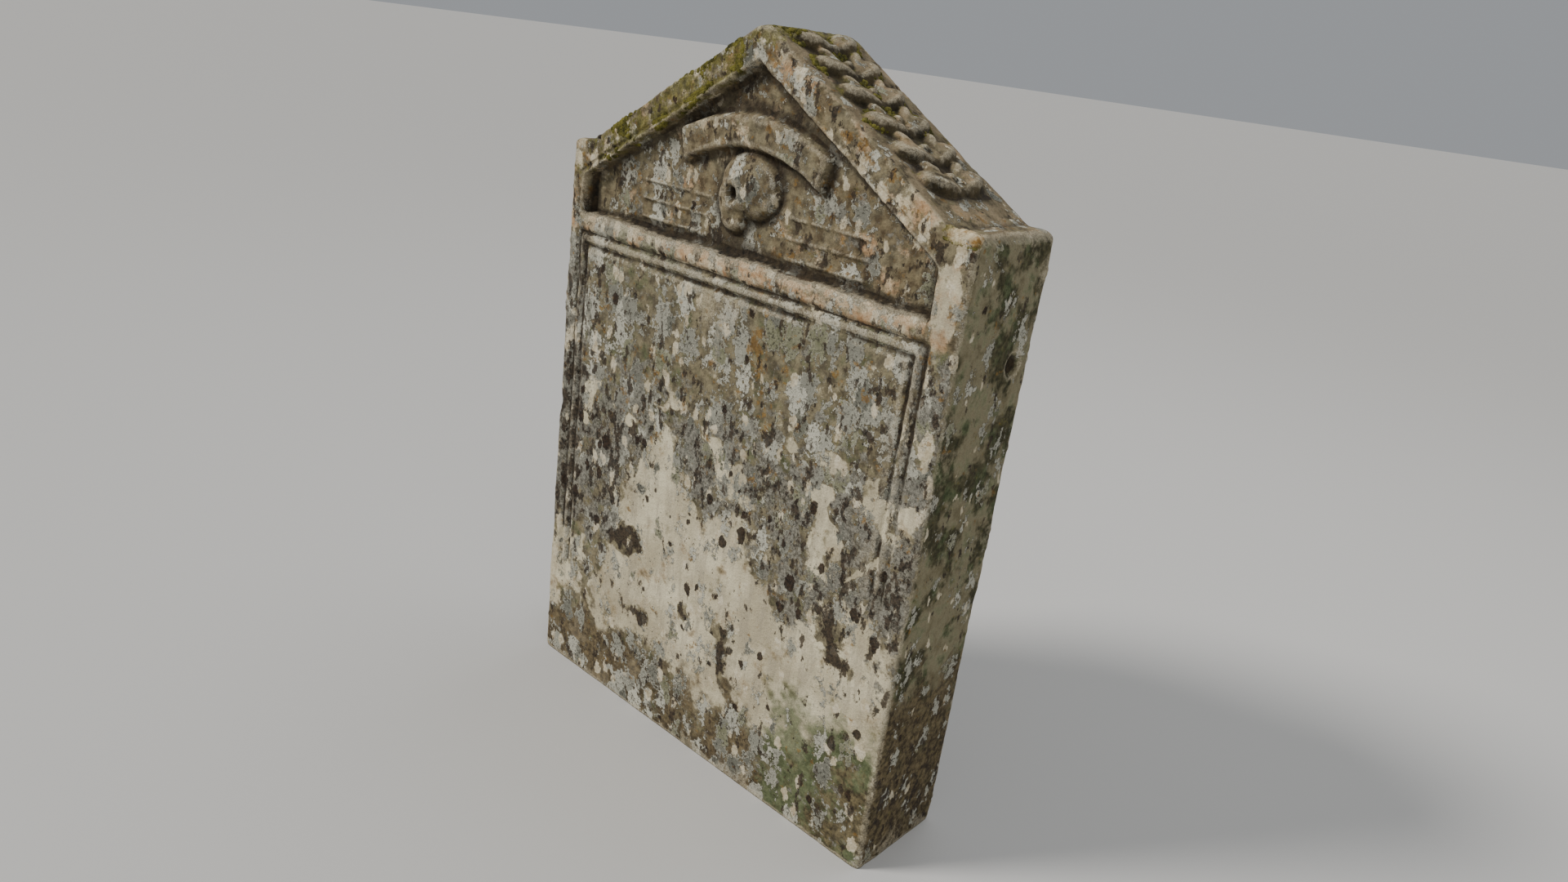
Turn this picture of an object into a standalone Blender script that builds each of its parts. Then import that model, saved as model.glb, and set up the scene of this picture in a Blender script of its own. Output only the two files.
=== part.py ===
"""Gabled headstone carved from one block of stone.

Metres, +Z up. The origin is the middle of the underside, where the stone is cut off at the
ground. The carved front faces -Y, and X runs along the width.
"""
import math

import bmesh
import bpy
from mathutils import Matrix, Vector

# Block
WIDTH = 0.600
THICKNESS = 0.147
SHOULDER_HEIGHT = 0.732
GABLE_RISE = 0.161
SHOULDER_LEDGE = 0.032
SHOULDER_ROUND = 0.009
SHOULDER_ROUND_LIMIT_SHARE = 0.9
RIDGE_ROUND = 0.022
ARRIS_BEVEL = 0.004
SHARPEST_UNBEVELLED = math.radians(57)

# Sunk pediment panel inside the raking band
RAKE_BAND = 0.033
SIDE_BAND = 0.038
SIDE_BAND_LEFT = 0.024
PEDIMENT_SIDE = 0.053
PEDIMENT_DEPTH = 0.017
PEDIMENT_HOLLOW = 0.011
PEDIMENT_CORNER = 0.010
EDGE_BEAD_WIDTH = 0.0065
EDGE_GROOVE_RADIUS = 0.002

# String course under the pediment, and the grooved frame of the main panel
STRING_HEIGHT = 0.026
STRING_SWELL = 0.009
FRAME_MARGIN = 0.029
FRAME_BEAD_SPACING = 0.0144
FRAME_GROOVE_RADIUS = 0.0034
FRAME_FOOT = 0.150
FRAME_OFFSET = -0.006

# Arched ribbon in the pediment
RIBBON_RADIUS = 0.231
RIBBON_HEIGHT = 0.038
RIBBON_RELIEF = 0.011
RIBBON_HALF_ANGLE = math.radians(30.5)
RIBBON_END_SLANT = math.radians(1.6)
RIBBON_TOP_DROP = 0.055
RIBBON_OFFSET = -0.005
RIBBON_BEVEL = 0.002

# Skull under the ribbon, its parts as shares of the cranium's half length
SKULL_HALF_LENGTH = 0.045
SKULL_HEIGHT_ABOVE_STRING = 0.079
SKULL_RELIEF = 0.0165
CRANIUM_HEIGHT_SHARE = 0.82
FACE_PLACE = (-0.47, -0.36)
FACE_SIZE = (0.50, 0.62)
JAW_PLACE = (-0.42, -0.86)
JAW_SIZE = (0.42, 0.34)
EYE_PLACE = (-0.36, -0.24)
EYE_SIZE = (0.17, 0.20)
NOSE_PLACE = (-0.76, -0.50)
NOSE_SIZE = (0.10, 0.13)
FACE_RELIEF_SHARE = 0.90
JAW_RELIEF_SHARE = 0.74
HOLLOW_DEPTH_SHARE = 0.6

# Rows of shallow strokes at both sides of the skull
STROKE_WIDTH = 0.0052
STROKE_ROWS = 3
STROKE_ROW_PITCH = 0.0215
STROKE_LOWEST = 0.014
STROKES_IN_ROW = 3
STROKE_GAP = 0.008
STROKE_INNER = 0.062
STROKE_OUTER = 0.172
STROKE_VARIATION = 0.45
STROKE_VARIATION_STEP = 2.1

# Leaf bundles on the two roof slopes
LEAF_BUNDLES = 6
LEAF_FOOT = 0.050
LEAF_TOP = 0.021
LEAF_EDGE = 0.024
LEAF_RELIEF = 0.012
OUTER_LEAF_LENGTH = 0.058
OUTER_LEAF_WIDTH = 0.034
OUTER_LEAF_TURN = math.radians(24)
INNER_LEAF_LENGTH = 0.036
INNER_LEAF_WIDTH = 0.017
INNER_LEAF_TURN = math.radians(56)
LEAF_TAPER = 0.36
BUD_RADIUS = 0.009
BUD_RISE_SHARE = 0.42
BUD_RELIEF_SHARE = 0.75
INNER_LEAF_RISE_SHARE = 0.30
INNER_LEAF_REACH_SHARE = 0.62

# Weathered pit in the right side
PIT_RADIUS = 0.013
PIT_DEPTH = 0.007
PIT_FROM_FRONT = 0.114
PIT_BELOW_SHOULDER = 0.137

# How far a cutter or a relief runs past the surface that it works on, and how far under its
# ground the middle of a raised shape lies
OVERRUN = 0.004
SINK = 0.0013

# Values worked out from the sizes above
HALF_WIDTH = WIDTH / 2
FRONT = -THICKNESS / 2
APEX_HEIGHT = SHOULDER_HEIGHT + GABLE_RISE
RAKE_RUN = HALF_WIDTH - SHOULDER_LEDGE
RAKE_SLOPE = GABLE_RISE / RAKE_RUN
RAKE_ANGLE = math.atan(RAKE_SLOPE)
RAKE_LENGTH = math.hypot(GABLE_RISE, RAKE_RUN)
PEDIMENT_RIGHT = HALF_WIDTH - SIDE_BAND
PEDIMENT_LEFT = SIDE_BAND_LEFT - HALF_WIDTH
PEDIMENT_APEX = APEX_HEIGHT - RAKE_BAND / math.cos(RAKE_ANGLE)
STRING_TOP = PEDIMENT_APEX - RAKE_SLOPE * PEDIMENT_RIGHT - PEDIMENT_SIDE
STRING_FOOT = STRING_TOP - STRING_HEIGHT
FLOOR = FRONT + PEDIMENT_DEPTH

# The stone as the photograph shows it, before weathering
STONE_COLOUR = (0.46, 0.41, 0.33, 1.0)
STONE_ROUGHNESS = 0.9


def clear_scene():
    """Remove the objects that the file opens with."""
    for item in list(bpy.data.objects):
        bpy.data.objects.remove(item, do_unlink=True)


def new_collection(name):
    """Add a collection to the scene."""
    collection = bpy.data.collections.new(name)
    bpy.context.scene.collection.children.link(collection)
    return collection


def rounded_outline(corners, radii, steps=5):
    """Outline through the corners, each rounded by an arc of its radius."""
    points = []
    for index, radius in enumerate(radii):
        corner = Vector(corners[index])
        before = (Vector(corners[index - 1]) - corner).normalized()
        after = (Vector(corners[(index + 1) % len(corners)]) - corner).normalized()
        if radius == 0:
            points.append(tuple(corner))
            continue
        half = before.angle(after) / 2
        centre = corner + (before + after).normalized() * (radius / math.sin(half))
        start = corner + before * (radius / math.tan(half)) - centre
        turn = start.angle_signed(corner + after * (radius / math.tan(half)) - centre)
        for step in range(steps + 1):
            angle = -turn * step / steps
            points.append(tuple(centre + Matrix.Rotation(angle, 2) @ start))
    return points


def curve_object(name, points, cyclic, dimensions):
    """POLY curve whose points are given as (x, height) in the plane of the front face."""
    curve = bpy.data.curves.new(name, "CURVE")
    curve.dimensions = dimensions
    spline = curve.splines.new("POLY")
    spline.points.add(len(points) - 1)
    for point, (across, height) in zip(spline.points, points):
        point.co = (across, height, 0.0, 1.0)
    spline.use_cyclic_u = cyclic
    curve_item = bpy.data.objects.new(name, curve)
    curve_item.rotation_euler = (math.radians(90), 0.0, 0.0)
    bpy.context.scene.collection.objects.link(curve_item)
    return curve_item


def curve_to_mesh(curve_item, collection):
    """Turn a curve into a closed mesh object and remove the curve."""
    bpy.context.view_layer.update()
    graph = bpy.context.evaluated_depsgraph_get()
    mesh = bpy.data.meshes.new_from_object(curve_item.evaluated_get(graph))
    shape = bmesh.new()
    shape.from_mesh(mesh)
    bmesh.ops.remove_doubles(shape, verts=shape.verts, dist=0.00001)
    bmesh.ops.recalc_face_normals(shape, faces=shape.faces)
    shape.to_mesh(mesh)
    shape.free()
    name = curve_item.name
    placing = curve_item.matrix_world.copy()
    bpy.data.objects.remove(curve_item, do_unlink=True)
    item = bpy.data.objects.new(name, mesh)
    item.matrix_world = placing
    collection.objects.link(item)
    return item


def plate(name, outline, near, far, collection):
    """Flat outline in the front's plane, extruded from depth near to depth far."""
    curve_item = curve_object(name, outline, True, "2D")
    curve_item.data.fill_mode = "BOTH"
    curve_item.data.extrude = (far - near) / 2
    curve_item.location = (0.0, (near + far) / 2, 0.0)
    return curve_to_mesh(curve_item, collection)


def sweep(name, path, depth, radius, collection):
    """Round bar along a path in the plane at the given depth."""
    curve_item = curve_object(name, path, False, "3D")
    curve_item.data.bevel_depth = radius
    curve_item.data.bevel_resolution = 2
    curve_item.data.use_fill_caps = True
    curve_item.location = (0.0, depth, 0.0)
    return curve_to_mesh(curve_item, collection)


def bevel_edges(item, wanted, width, segments):
    """Bevel the edges whose two ends pass the test, given in world space."""
    shape = bmesh.new()
    shape.from_mesh(item.data)
    world = item.matrix_world
    edges = [edge for edge in shape.edges if all(wanted(world @ vert.co) for vert in edge.verts)]
    bmesh.ops.bevel(shape, geom=edges, offset=width, segments=segments, profile=0.5,
                    affect="EDGES", clamp_overlap=True)
    shape.to_mesh(item.data)
    shape.free()


def ball(name, centre, half_sizes, collection, turn=None, taper=0.0, segments=(16, 10)):
    """Ellipsoid, narrowed towards +X by the taper before it is turned and placed."""
    mesh = bpy.data.meshes.new(name)
    shape = bmesh.new()
    bmesh.ops.create_uvsphere(shape, u_segments=segments[0], v_segments=segments[1], radius=1.0)
    for vert in shape.verts:
        narrow = 1.0 - taper * (vert.co.x + 1.0) / 2
        vert.co = Vector((vert.co.x * half_sizes[0],
                          vert.co.y * half_sizes[1] * narrow,
                          vert.co.z * half_sizes[2] * narrow))
    placing = Matrix.Translation(centre)
    if turn is not None:
        placing = placing @ turn.to_4x4()
    shape.transform(placing)
    shape.to_mesh(mesh)
    shape.free()
    item = bpy.data.objects.new(name, mesh)
    collection.objects.link(item)
    return item


def gable_outline():
    """Outline of the block, with rounded shoulders and ridge."""
    corners = [
        (-HALF_WIDTH, 0.0),
        (HALF_WIDTH, 0.0),
        (HALF_WIDTH, SHOULDER_HEIGHT),
        (RAKE_RUN, SHOULDER_HEIGHT),
        (0.0, APEX_HEIGHT),
        (-RAKE_RUN, SHOULDER_HEIGHT),
        (-HALF_WIDTH, SHOULDER_HEIGHT),
    ]
    shoulder = min(SHOULDER_ROUND, SHOULDER_LEDGE * SHOULDER_ROUND_LIMIT_SHARE)
    return rounded_outline(corners, [0, 0, shoulder, 0, RIDGE_ROUND, 0, shoulder])


def pediment_corners(spread):
    """Corners of the sunk pediment panel, moved out by the spread."""
    left = PEDIMENT_LEFT - spread
    right = PEDIMENT_RIGHT + spread
    apex = PEDIMENT_APEX + spread / math.cos(RAKE_ANGLE)
    return [
        (left, STRING_TOP),
        (right, STRING_TOP),
        (right, apex - RAKE_SLOPE * right),
        (0.0, apex),
        (left, apex + RAKE_SLOPE * left),
    ]


def make_block(collection):
    """The block itself, with its sharp edges taken off all round but not at the ground."""
    block = plate("headstone", gable_outline(), FRONT, -FRONT, collection)
    shape = bmesh.new()
    shape.from_mesh(block.data)
    world = block.matrix_world
    edges = []
    for edge in shape.edges:
        ends = [world @ vert.co for vert in edge.verts]
        upper = max(end.z for end in ends) > ARRIS_BEVEL
        same_face = ends[0].y * ends[1].y > 0
        if not (upper and same_face and len(edge.link_faces) == 2):
            continue
        if edge.calc_face_angle() > SHARPEST_UNBEVELLED:
            edges.append(edge)
    bmesh.ops.bevel(shape, geom=edges, offset=ARRIS_BEVEL, segments=2, profile=0.5,
                    affect="EDGES", clamp_overlap=True)
    shape.to_mesh(block.data)
    shape.free()
    return block


def cut_pediment(cutters):
    """The sunk panel with a hollow all round its floor, and the line beside its edge bead."""
    radii = [0, 0, PEDIMENT_CORNER, PEDIMENT_CORNER, PEDIMENT_CORNER]
    outline = rounded_outline(pediment_corners(0.0), radii, 3)
    panel = plate("pediment_cut", outline, FRONT - OVERRUN, FLOOR, cutters)
    bevel_edges(panel, lambda point: point.y > FLOOR - OVERRUN / 4, PEDIMENT_HOLLOW, 4)
    corners = pediment_corners(EDGE_BEAD_WIDTH)
    path = [corners[1], corners[2], corners[3], corners[4], corners[0]]
    sweep("edge_bead_groove", path, FRONT, EDGE_GROOVE_RADIUS, cutters)


def cut_string(cutters):
    """The channel that the swelling string course stands in."""
    outline = [
        (PEDIMENT_LEFT, STRING_FOOT),
        (PEDIMENT_RIGHT, STRING_FOOT),
        (PEDIMENT_RIGHT, STRING_TOP + OVERRUN),
        (PEDIMENT_LEFT, STRING_TOP + OVERRUN),
    ]
    plate("string_channel", outline, FRONT - OVERRUN, FRONT + STRING_SWELL, cutters)


def add_string(reliefs):
    """The string course: a bar with a swelling front, as a turned half profile."""
    mesh = bpy.data.meshes.new("string_course")
    shape = bmesh.new()
    bmesh.ops.create_cone(shape, cap_ends=True, segments=24, radius1=1.0, radius2=1.0, depth=2.0)
    lying = Matrix.Rotation(math.radians(90), 4, "Y")
    half = (PEDIMENT_RIGHT - PEDIMENT_LEFT) / 2 + OVERRUN
    middle = (PEDIMENT_RIGHT + PEDIMENT_LEFT) / 2
    sizes = Matrix.Diagonal((half, STRING_SWELL + OVERRUN, STRING_HEIGHT / 2, 1.0))
    place = Matrix.Translation((middle, FRONT + STRING_SWELL + OVERRUN,
                                STRING_TOP - STRING_HEIGHT / 2))
    shape.transform(place @ sizes @ lying)
    shape.to_mesh(mesh)
    shape.free()
    reliefs.objects.link(bpy.data.objects.new("string_course", mesh))


def cut_frame(cutters):
    """The two lines round the main panel, with a bead left between them."""
    for name, inset in (("frame_outer_line", 0.0), ("frame_inner_line", FRAME_BEAD_SPACING)):
        half = HALF_WIDTH - FRAME_MARGIN - inset
        top = STRING_FOOT - inset
        left = FRAME_OFFSET - half
        right = FRAME_OFFSET + half
        path = [(left, FRAME_FOOT), (left, top), (right, top), (right, FRAME_FOOT)]
        sweep(name, path, FRONT, FRAME_GROOVE_RADIUS, cutters)


def add_ribbon(reliefs):
    """The arched ribbon, its lower edge reaching a little further than its upper edge."""
    centre = PEDIMENT_APEX - RIBBON_TOP_DROP - RIBBON_RADIUS
    steps = 16
    outline = []
    for radius, direction in ((RIBBON_RADIUS, 1), (RIBBON_RADIUS - RIBBON_HEIGHT, -1)):
        half_angle = RIBBON_HALF_ANGLE - direction * RIBBON_END_SLANT
        for step in range(steps + 1):
            angle = direction * half_angle * (2 * step / steps - 1)
            outline.append((RIBBON_OFFSET + radius * math.sin(angle),
                            centre + radius * math.cos(angle)))
    ribbon = plate("ribbon", outline, FLOOR - RIBBON_RELIEF, FLOOR + OVERRUN, reliefs)
    bevel_edges(ribbon, lambda point: point.y < FLOOR - RIBBON_RELIEF / 2, RIBBON_BEVEL, 1)


def skull_ball(name, place, size, relief, collection):
    """One rounded part of the skull, placed by shares of its half length."""
    centre = Vector((RIBBON_OFFSET + place[0] * SKULL_HALF_LENGTH, FLOOR + SINK,
                     STRING_TOP + SKULL_HEIGHT_ABOVE_STRING + place[1] * SKULL_HALF_LENGTH))
    halves = (size[0] * SKULL_HALF_LENGTH, relief, size[1] * SKULL_HALF_LENGTH)
    return ball(name, centre, halves, collection)


def add_skull(reliefs):
    """Cranium, face and jaw, turned towards the left, with the eye and nose hollows."""
    bones = new_collection("skull bones")
    hollows = new_collection("skull hollows")
    cranium_size = (1.0, CRANIUM_HEIGHT_SHARE)
    cranium = skull_ball("cranium", (0.0, 0.0), cranium_size, SKULL_RELIEF, reliefs)
    skull_ball("face", FACE_PLACE, FACE_SIZE, SKULL_RELIEF * FACE_RELIEF_SHARE, bones)
    skull_ball("jaw", JAW_PLACE, JAW_SIZE, SKULL_RELIEF * JAW_RELIEF_SHARE, bones)
    for name, place, size in (("eye", EYE_PLACE, EYE_SIZE), ("nose", NOSE_PLACE, NOSE_SIZE)):
        across = RIBBON_OFFSET + place[0] * SKULL_HALF_LENGTH
        height = STRING_TOP + SKULL_HEIGHT_ABOVE_STRING + place[1] * SKULL_HALF_LENGTH
        halves = (size[0] * SKULL_HALF_LENGTH, SKULL_RELIEF * HOLLOW_DEPTH_SHARE,
                  size[1] * SKULL_HALF_LENGTH)
        ball(name + "_hollow", (across, FLOOR - SKULL_RELIEF, height), halves, hollows,
             segments=(12, 8))
    boolean(cranium, bones, "UNION")
    boolean(cranium, hollows, "DIFFERENCE")


def stroke_spans(row):
    """Start and length of each stroke in a row, as the strokes' lengths change by turns."""
    turns = [STROKE_VARIATION_STEP * (row * STROKES_IN_ROW + index + 1)
             for index in range(STROKES_IN_ROW)]
    shares = [1.0 + STROKE_VARIATION * math.cos(turn) for turn in turns]
    room = STROKE_OUTER - STROKE_INNER - STROKE_GAP * (STROKES_IN_ROW - 1)
    start = STROKE_INNER
    spans = []
    for share in shares:
        length = room * share / sum(shares)
        spans.append((start, length))
        start += length + STROKE_GAP
    return spans


def add_strokes(reliefs):
    """Rows of low rounded strokes, the same at both sides."""
    for row in range(STROKE_ROWS):
        height = STRING_TOP + STROKE_LOWEST + row * STROKE_ROW_PITCH
        for index, (start, length) in enumerate(stroke_spans(row)):
            for side in (-1, 1):
                name = f"stroke_{row}_{index}_{side + 1}"
                path = [(side * start, height), (side * (start + length), height)]
                sweep(name, path, FLOOR + SINK, STROKE_WIDTH / 2 + SINK, reliefs)


def slope_frame(side):
    """Point at the foot of a roof slope, and its directions: up, along the depth, out."""
    ground = Vector((side * RAKE_RUN, 0.0, SHOULDER_HEIGHT))
    up = Vector((-side * math.cos(RAKE_ANGLE), 0.0, math.sin(RAKE_ANGLE)))
    along = Vector((0.0, 1.0, 0.0))
    out = Vector((side * math.sin(RAKE_ANGLE), 0.0, math.cos(RAKE_ANGLE)))
    return ground - out * SINK, up, along, out


def add_leaves(reliefs):
    """Bundles of leaves one over the other on both slopes, tips to the middle and down."""
    pitch = (RAKE_LENGTH - LEAF_FOOT - LEAF_TOP) / (LEAF_BUNDLES - 0.5)
    reach = THICKNESS / 2 - LEAF_EDGE
    kinds = (
        ("outer", OUTER_LEAF_LENGTH, OUTER_LEAF_WIDTH, OUTER_LEAF_TURN, reach, 0.0),
        ("inner", INNER_LEAF_LENGTH, INNER_LEAF_WIDTH, INNER_LEAF_TURN,
         reach * INNER_LEAF_REACH_SHARE, INNER_LEAF_RISE_SHARE),
    )
    for side in (-1, 1):
        foot, up, along, out = slope_frame(side)
        for bundle in range(LEAF_BUNDLES):
            tips = foot + up * (LEAF_FOOT + bundle * pitch)
            room = pitch if bundle < LEAF_BUNDLES - 1 else 0.0
            for hand in (-1, 1):
                for kind, length, width, turn, out_to, raised in kinds:
                    tip_way = -hand * math.cos(turn) * along - math.sin(turn) * up
                    across = tip_way.cross(out)
                    centre = (tips + along * hand * (out_to - length / 2 * math.cos(turn))
                              + up * (length / 2 * math.sin(turn) + raised * room))
                    turned = Matrix((tip_way, across, out)).transposed()
                    ball(f"leaf_{kind}_{side + 1}_{bundle}_{hand + 1}", centre,
                         (length / 2, width / 2, LEAF_RELIEF), reliefs,
                         turn=turned, taper=LEAF_TAPER, segments=(12, 8))
            turned = Matrix((along, up, out)).transposed()
            ball(f"bud_{side + 1}_{bundle}", tips + up * room * BUD_RISE_SHARE,
                 (BUD_RADIUS, BUD_RADIUS, LEAF_RELIEF * BUD_RELIEF_SHARE), reliefs,
                 turn=turned, segments=(8, 6))


def cut_pit(cutters):
    """The round pit in the right side."""
    centre = (HALF_WIDTH, FRONT + PIT_FROM_FRONT, SHOULDER_HEIGHT - PIT_BELOW_SHOULDER)
    ball("side_pit", centre, (PIT_DEPTH, PIT_RADIUS, PIT_RADIUS), cutters, segments=(12, 8))


def boolean(block, collection, operation):
    """Join or cut with all the shapes of a collection."""
    for item in collection.objects:
        item.hide_render = True
        item.display_type = "WIRE"
    modifier = block.modifiers.new(collection.name, "BOOLEAN")
    modifier.operation = operation
    modifier.operand_type = "COLLECTION"
    modifier.collection = collection
    modifier.solver = "EXACT"


def stone_material():
    """Weathered pale stone."""
    material = bpy.data.materials.new("weathered stone")
    material.use_nodes = True
    shader = material.node_tree.nodes["Principled BSDF"]
    shader.inputs["Base Color"].default_value = STONE_COLOUR
    shader.inputs["Roughness"].default_value = STONE_ROUGHNESS
    shader.inputs["Metallic"].default_value = 0.0
    return material


def main():
    """Build the headstone."""
    clear_scene()
    stone = new_collection("gabled headstone")
    sunk = new_collection("sunk carving")
    reliefs = new_collection("raised carving")
    block = make_block(stone)
    cut_pediment(sunk)
    cut_string(sunk)
    cut_frame(sunk)
    cut_pit(sunk)
    add_string(reliefs)
    add_ribbon(reliefs)
    add_skull(reliefs)
    add_strokes(reliefs)
    add_leaves(reliefs)
    boolean(block, sunk, "DIFFERENCE")
    boolean(block, reliefs, "UNION")
    block.data.materials.append(stone_material())
    block.data.set_sharp_from_angle(angle=math.radians(40))


main()
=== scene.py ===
"""Weathered headstone: the finish of the carved block, its growth of lichen and moss, and the stage.

Metres, +Z up, the carved front towards -Y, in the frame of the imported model.
"""
import itertools
import math

import bmesh
import bpy
import numpy as np
from bpy.props import FloatProperty, FloatVectorProperty, IntProperty, PointerProperty, StringProperty
from mathutils import Matrix, Vector


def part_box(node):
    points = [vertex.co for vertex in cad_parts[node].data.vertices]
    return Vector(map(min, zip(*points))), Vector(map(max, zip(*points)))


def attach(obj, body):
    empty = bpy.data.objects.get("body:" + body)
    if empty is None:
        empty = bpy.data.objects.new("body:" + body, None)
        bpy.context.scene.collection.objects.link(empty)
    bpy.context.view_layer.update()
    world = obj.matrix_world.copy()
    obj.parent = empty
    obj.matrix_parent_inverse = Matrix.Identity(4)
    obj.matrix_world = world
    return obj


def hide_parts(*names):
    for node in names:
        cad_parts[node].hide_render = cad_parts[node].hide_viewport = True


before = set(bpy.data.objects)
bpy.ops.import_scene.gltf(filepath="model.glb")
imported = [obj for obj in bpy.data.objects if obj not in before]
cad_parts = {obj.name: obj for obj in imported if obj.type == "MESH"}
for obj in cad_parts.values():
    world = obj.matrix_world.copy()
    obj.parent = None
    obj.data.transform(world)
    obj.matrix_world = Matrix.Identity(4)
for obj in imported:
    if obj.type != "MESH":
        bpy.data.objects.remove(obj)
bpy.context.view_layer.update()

bl_info = {
    "name": "Weathered Headstone",
    "version": (1, 0, 0),
    "blender": (4, 5, 0),
    "location": "View3D > Sidebar > Headstone",
    "description": "Carves, weathers and stages a gabled headstone",
    "category": "Add Mesh",
}

LOW, HIGH = (Vector(corner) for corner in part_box("headstone"))
WIDTH = HIGH.x - LOW.x
THICKNESS = HIGH.y - LOW.y
FRONT = LOW.y
MILLIMETRE = 0.001
BOX_MARGIN = 0.1 * MILLIMETRE


def length(name, description, millimetres):
    """Length property, its default given in millimetres."""
    return FloatProperty(name=name, description=description, unit="LENGTH",
                         default=millimetres * MILLIMETRE)


def turn(name, description, degrees):
    """Angle property, its default given in degrees."""
    return FloatProperty(name=name, description=description, unit="ROTATION",
                         default=math.radians(degrees))


def tones(name, description, darker, paler):
    """Pair of colours, kept as two sRGB hex values."""
    return StringProperty(name=name, description=description + ", darker and paler sRGB hex",
                          default=darker + " " + paler)


class HeadstoneCarving(bpy.types.PropertyGroup):
    """Sizes of the block and its carving."""
    shoulder_height: length("Shoulder height", "Ground to the level shoulders", 732)
    gable_rise: length("Gable rise", "Shoulders to the sharp ridge line", 161)
    shoulder_ledge: length("Shoulder ledge", "Width of the level shoulder", 32)
    shoulder_round: length("Shoulder round", "Radius of the shoulder's corner", 9)
    ridge_round: length("Ridge round", "Radius of the ridge", 22)
    rake_band: length("Rake band", "Plain band along the sloping edge", 33)
    side_band: length("Side band", "Plain band beside the pediment, on the right", 38)
    side_band_left: length("Left side band", "Plain band beside the pediment, on the left", 24)
    pediment_side: length("Pediment side", "Upright side of the sunk panel, on the right", 53)
    pediment_depth: length("Pediment depth", "How deep the panel is sunk", 17)
    pediment_hollow: length("Hollow", "Radius of the hollow round the floor", 11)
    bead_width: length("Edge bead", "Bead left along the sunk panel's edge", 6.5)
    string_height: length("String height", "Height of the swelling course", 26)
    string_swell: length("String swell", "How far the course rounds back", 10)
    frame_margin: length("Frame margin", "Stone's side to the outer line", 29)
    frame_spacing: length("Frame spacing", "Outer line to inner line", 14.4)
    frame_groove: length("Frame groove", "Half width of a cut line", 4)
    frame_foot: length("Frame foot", "Ground to the lines' lower ends", 150)
    frame_offset: length("Frame offset", "Frame's shift along the width", -6)
    ribbon_radius: length("Ribbon radius", "Upper edge of the arched ribbon", 231)
    ribbon_height: length("Ribbon height", "Width of the ribbon", 38)
    ribbon_relief: length("Ribbon relief", "Ribbon's height over the floor", 11)
    ribbon_half_angle: turn("Ribbon half angle", "Middle to the ribbon's end", 30.5)
    ribbon_drop: length("Ribbon drop", "Panel's point to the ribbon's top", 55)
    ribbon_offset: length("Ribbon offset", "Ribbon's and skull's shift along the width", -5)
    skull_half: length("Skull half length", "Half of the cranium's length", 45)
    skull_rise: length("Skull rise", "String course to the cranium's middle", 79)
    skull_relief: length("Skull relief", "Cranium's height over the floor", 16.5)
    stroke_width: length("Stroke width", "Width of a stroke in the rows", 5.2)
    stroke_pitch: length("Stroke row pitch", "Row to row", 21.5)
    stroke_lowest: length("Lowest row", "String course to the lowest row", 14)
    stroke_gap: length("Stroke gap", "Gap between strokes in a row", 8)
    stroke_inner: length("Rows' inner end", "Middle to the rows' inner end", 62)
    stroke_outer: length("Rows' outer end", "Middle to the rows' outer end", 172)
    leaf_bundles: IntProperty(name="Leaf bundles", description="Bundles on each slope", default=6)
    leaf_foot: length("Leaf foot", "Slope's foot to the lowest tips", 50)
    leaf_top: length("Leaf top", "Topmost tips to the ridge, less half a bundle", 21)
    leaf_edge: length("Leaf edge", "Plain strip beside the leaves", 24)
    leaf_relief: length("Leaf relief", "Leaves' height over the slope", 13)
    outer_leaf_length: length("Outer leaf length", "Root to tip", 60)
    outer_leaf_width: length("Outer leaf width", "Across the widest part", 38)
    outer_leaf_turn: turn("Outer leaf turn", "Angle off the slope's level line", 22)
    inner_leaf_length: length("Inner leaf length", "Root to tip", 36)
    inner_leaf_width: length("Inner leaf width", "Across the widest part", 17)
    inner_leaf_turn: turn("Inner leaf turn", "Angle off the slope's level line", 56)
    bud_radius: length("Bud radius", "Round bud between the leaves", 7)
    pit_radius: length("Pit radius", "Weathered pit in the right side", 13)
    pit_from_front: length("Pit from front", "Front face to the pit's middle", 114)
    pit_below_shoulder: length("Pit below shoulder", "Shoulder to the pit's middle", 137)


class HeadstoneWear(bpy.types.PropertyGroup):
    """How far the weather has worn the stone."""
    spacing: length("Point spacing", "Distance between the points of the mesh", 2.5)
    triangle_budget: IntProperty(name="Triangle budget", default=192000,
                                 description="Triangles kept after thinning out the plain parts")
    arris_wear: length("Arris wear", "How far wear reaches from an edge", 6)
    chip_depth: length("Chip depth", "Deepest chips along the edges", 4.5)
    crust: length("Crust", "Thickness of the lichen crust", 1.3)
    cushions: IntProperty(name="Moss cushions", default=1100,
                          description="Small cushions of moss on the slopes and in the joints")
    seed: IntProperty(name="Seed", description="Changes the chips, warts and moss", default=7)


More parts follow.
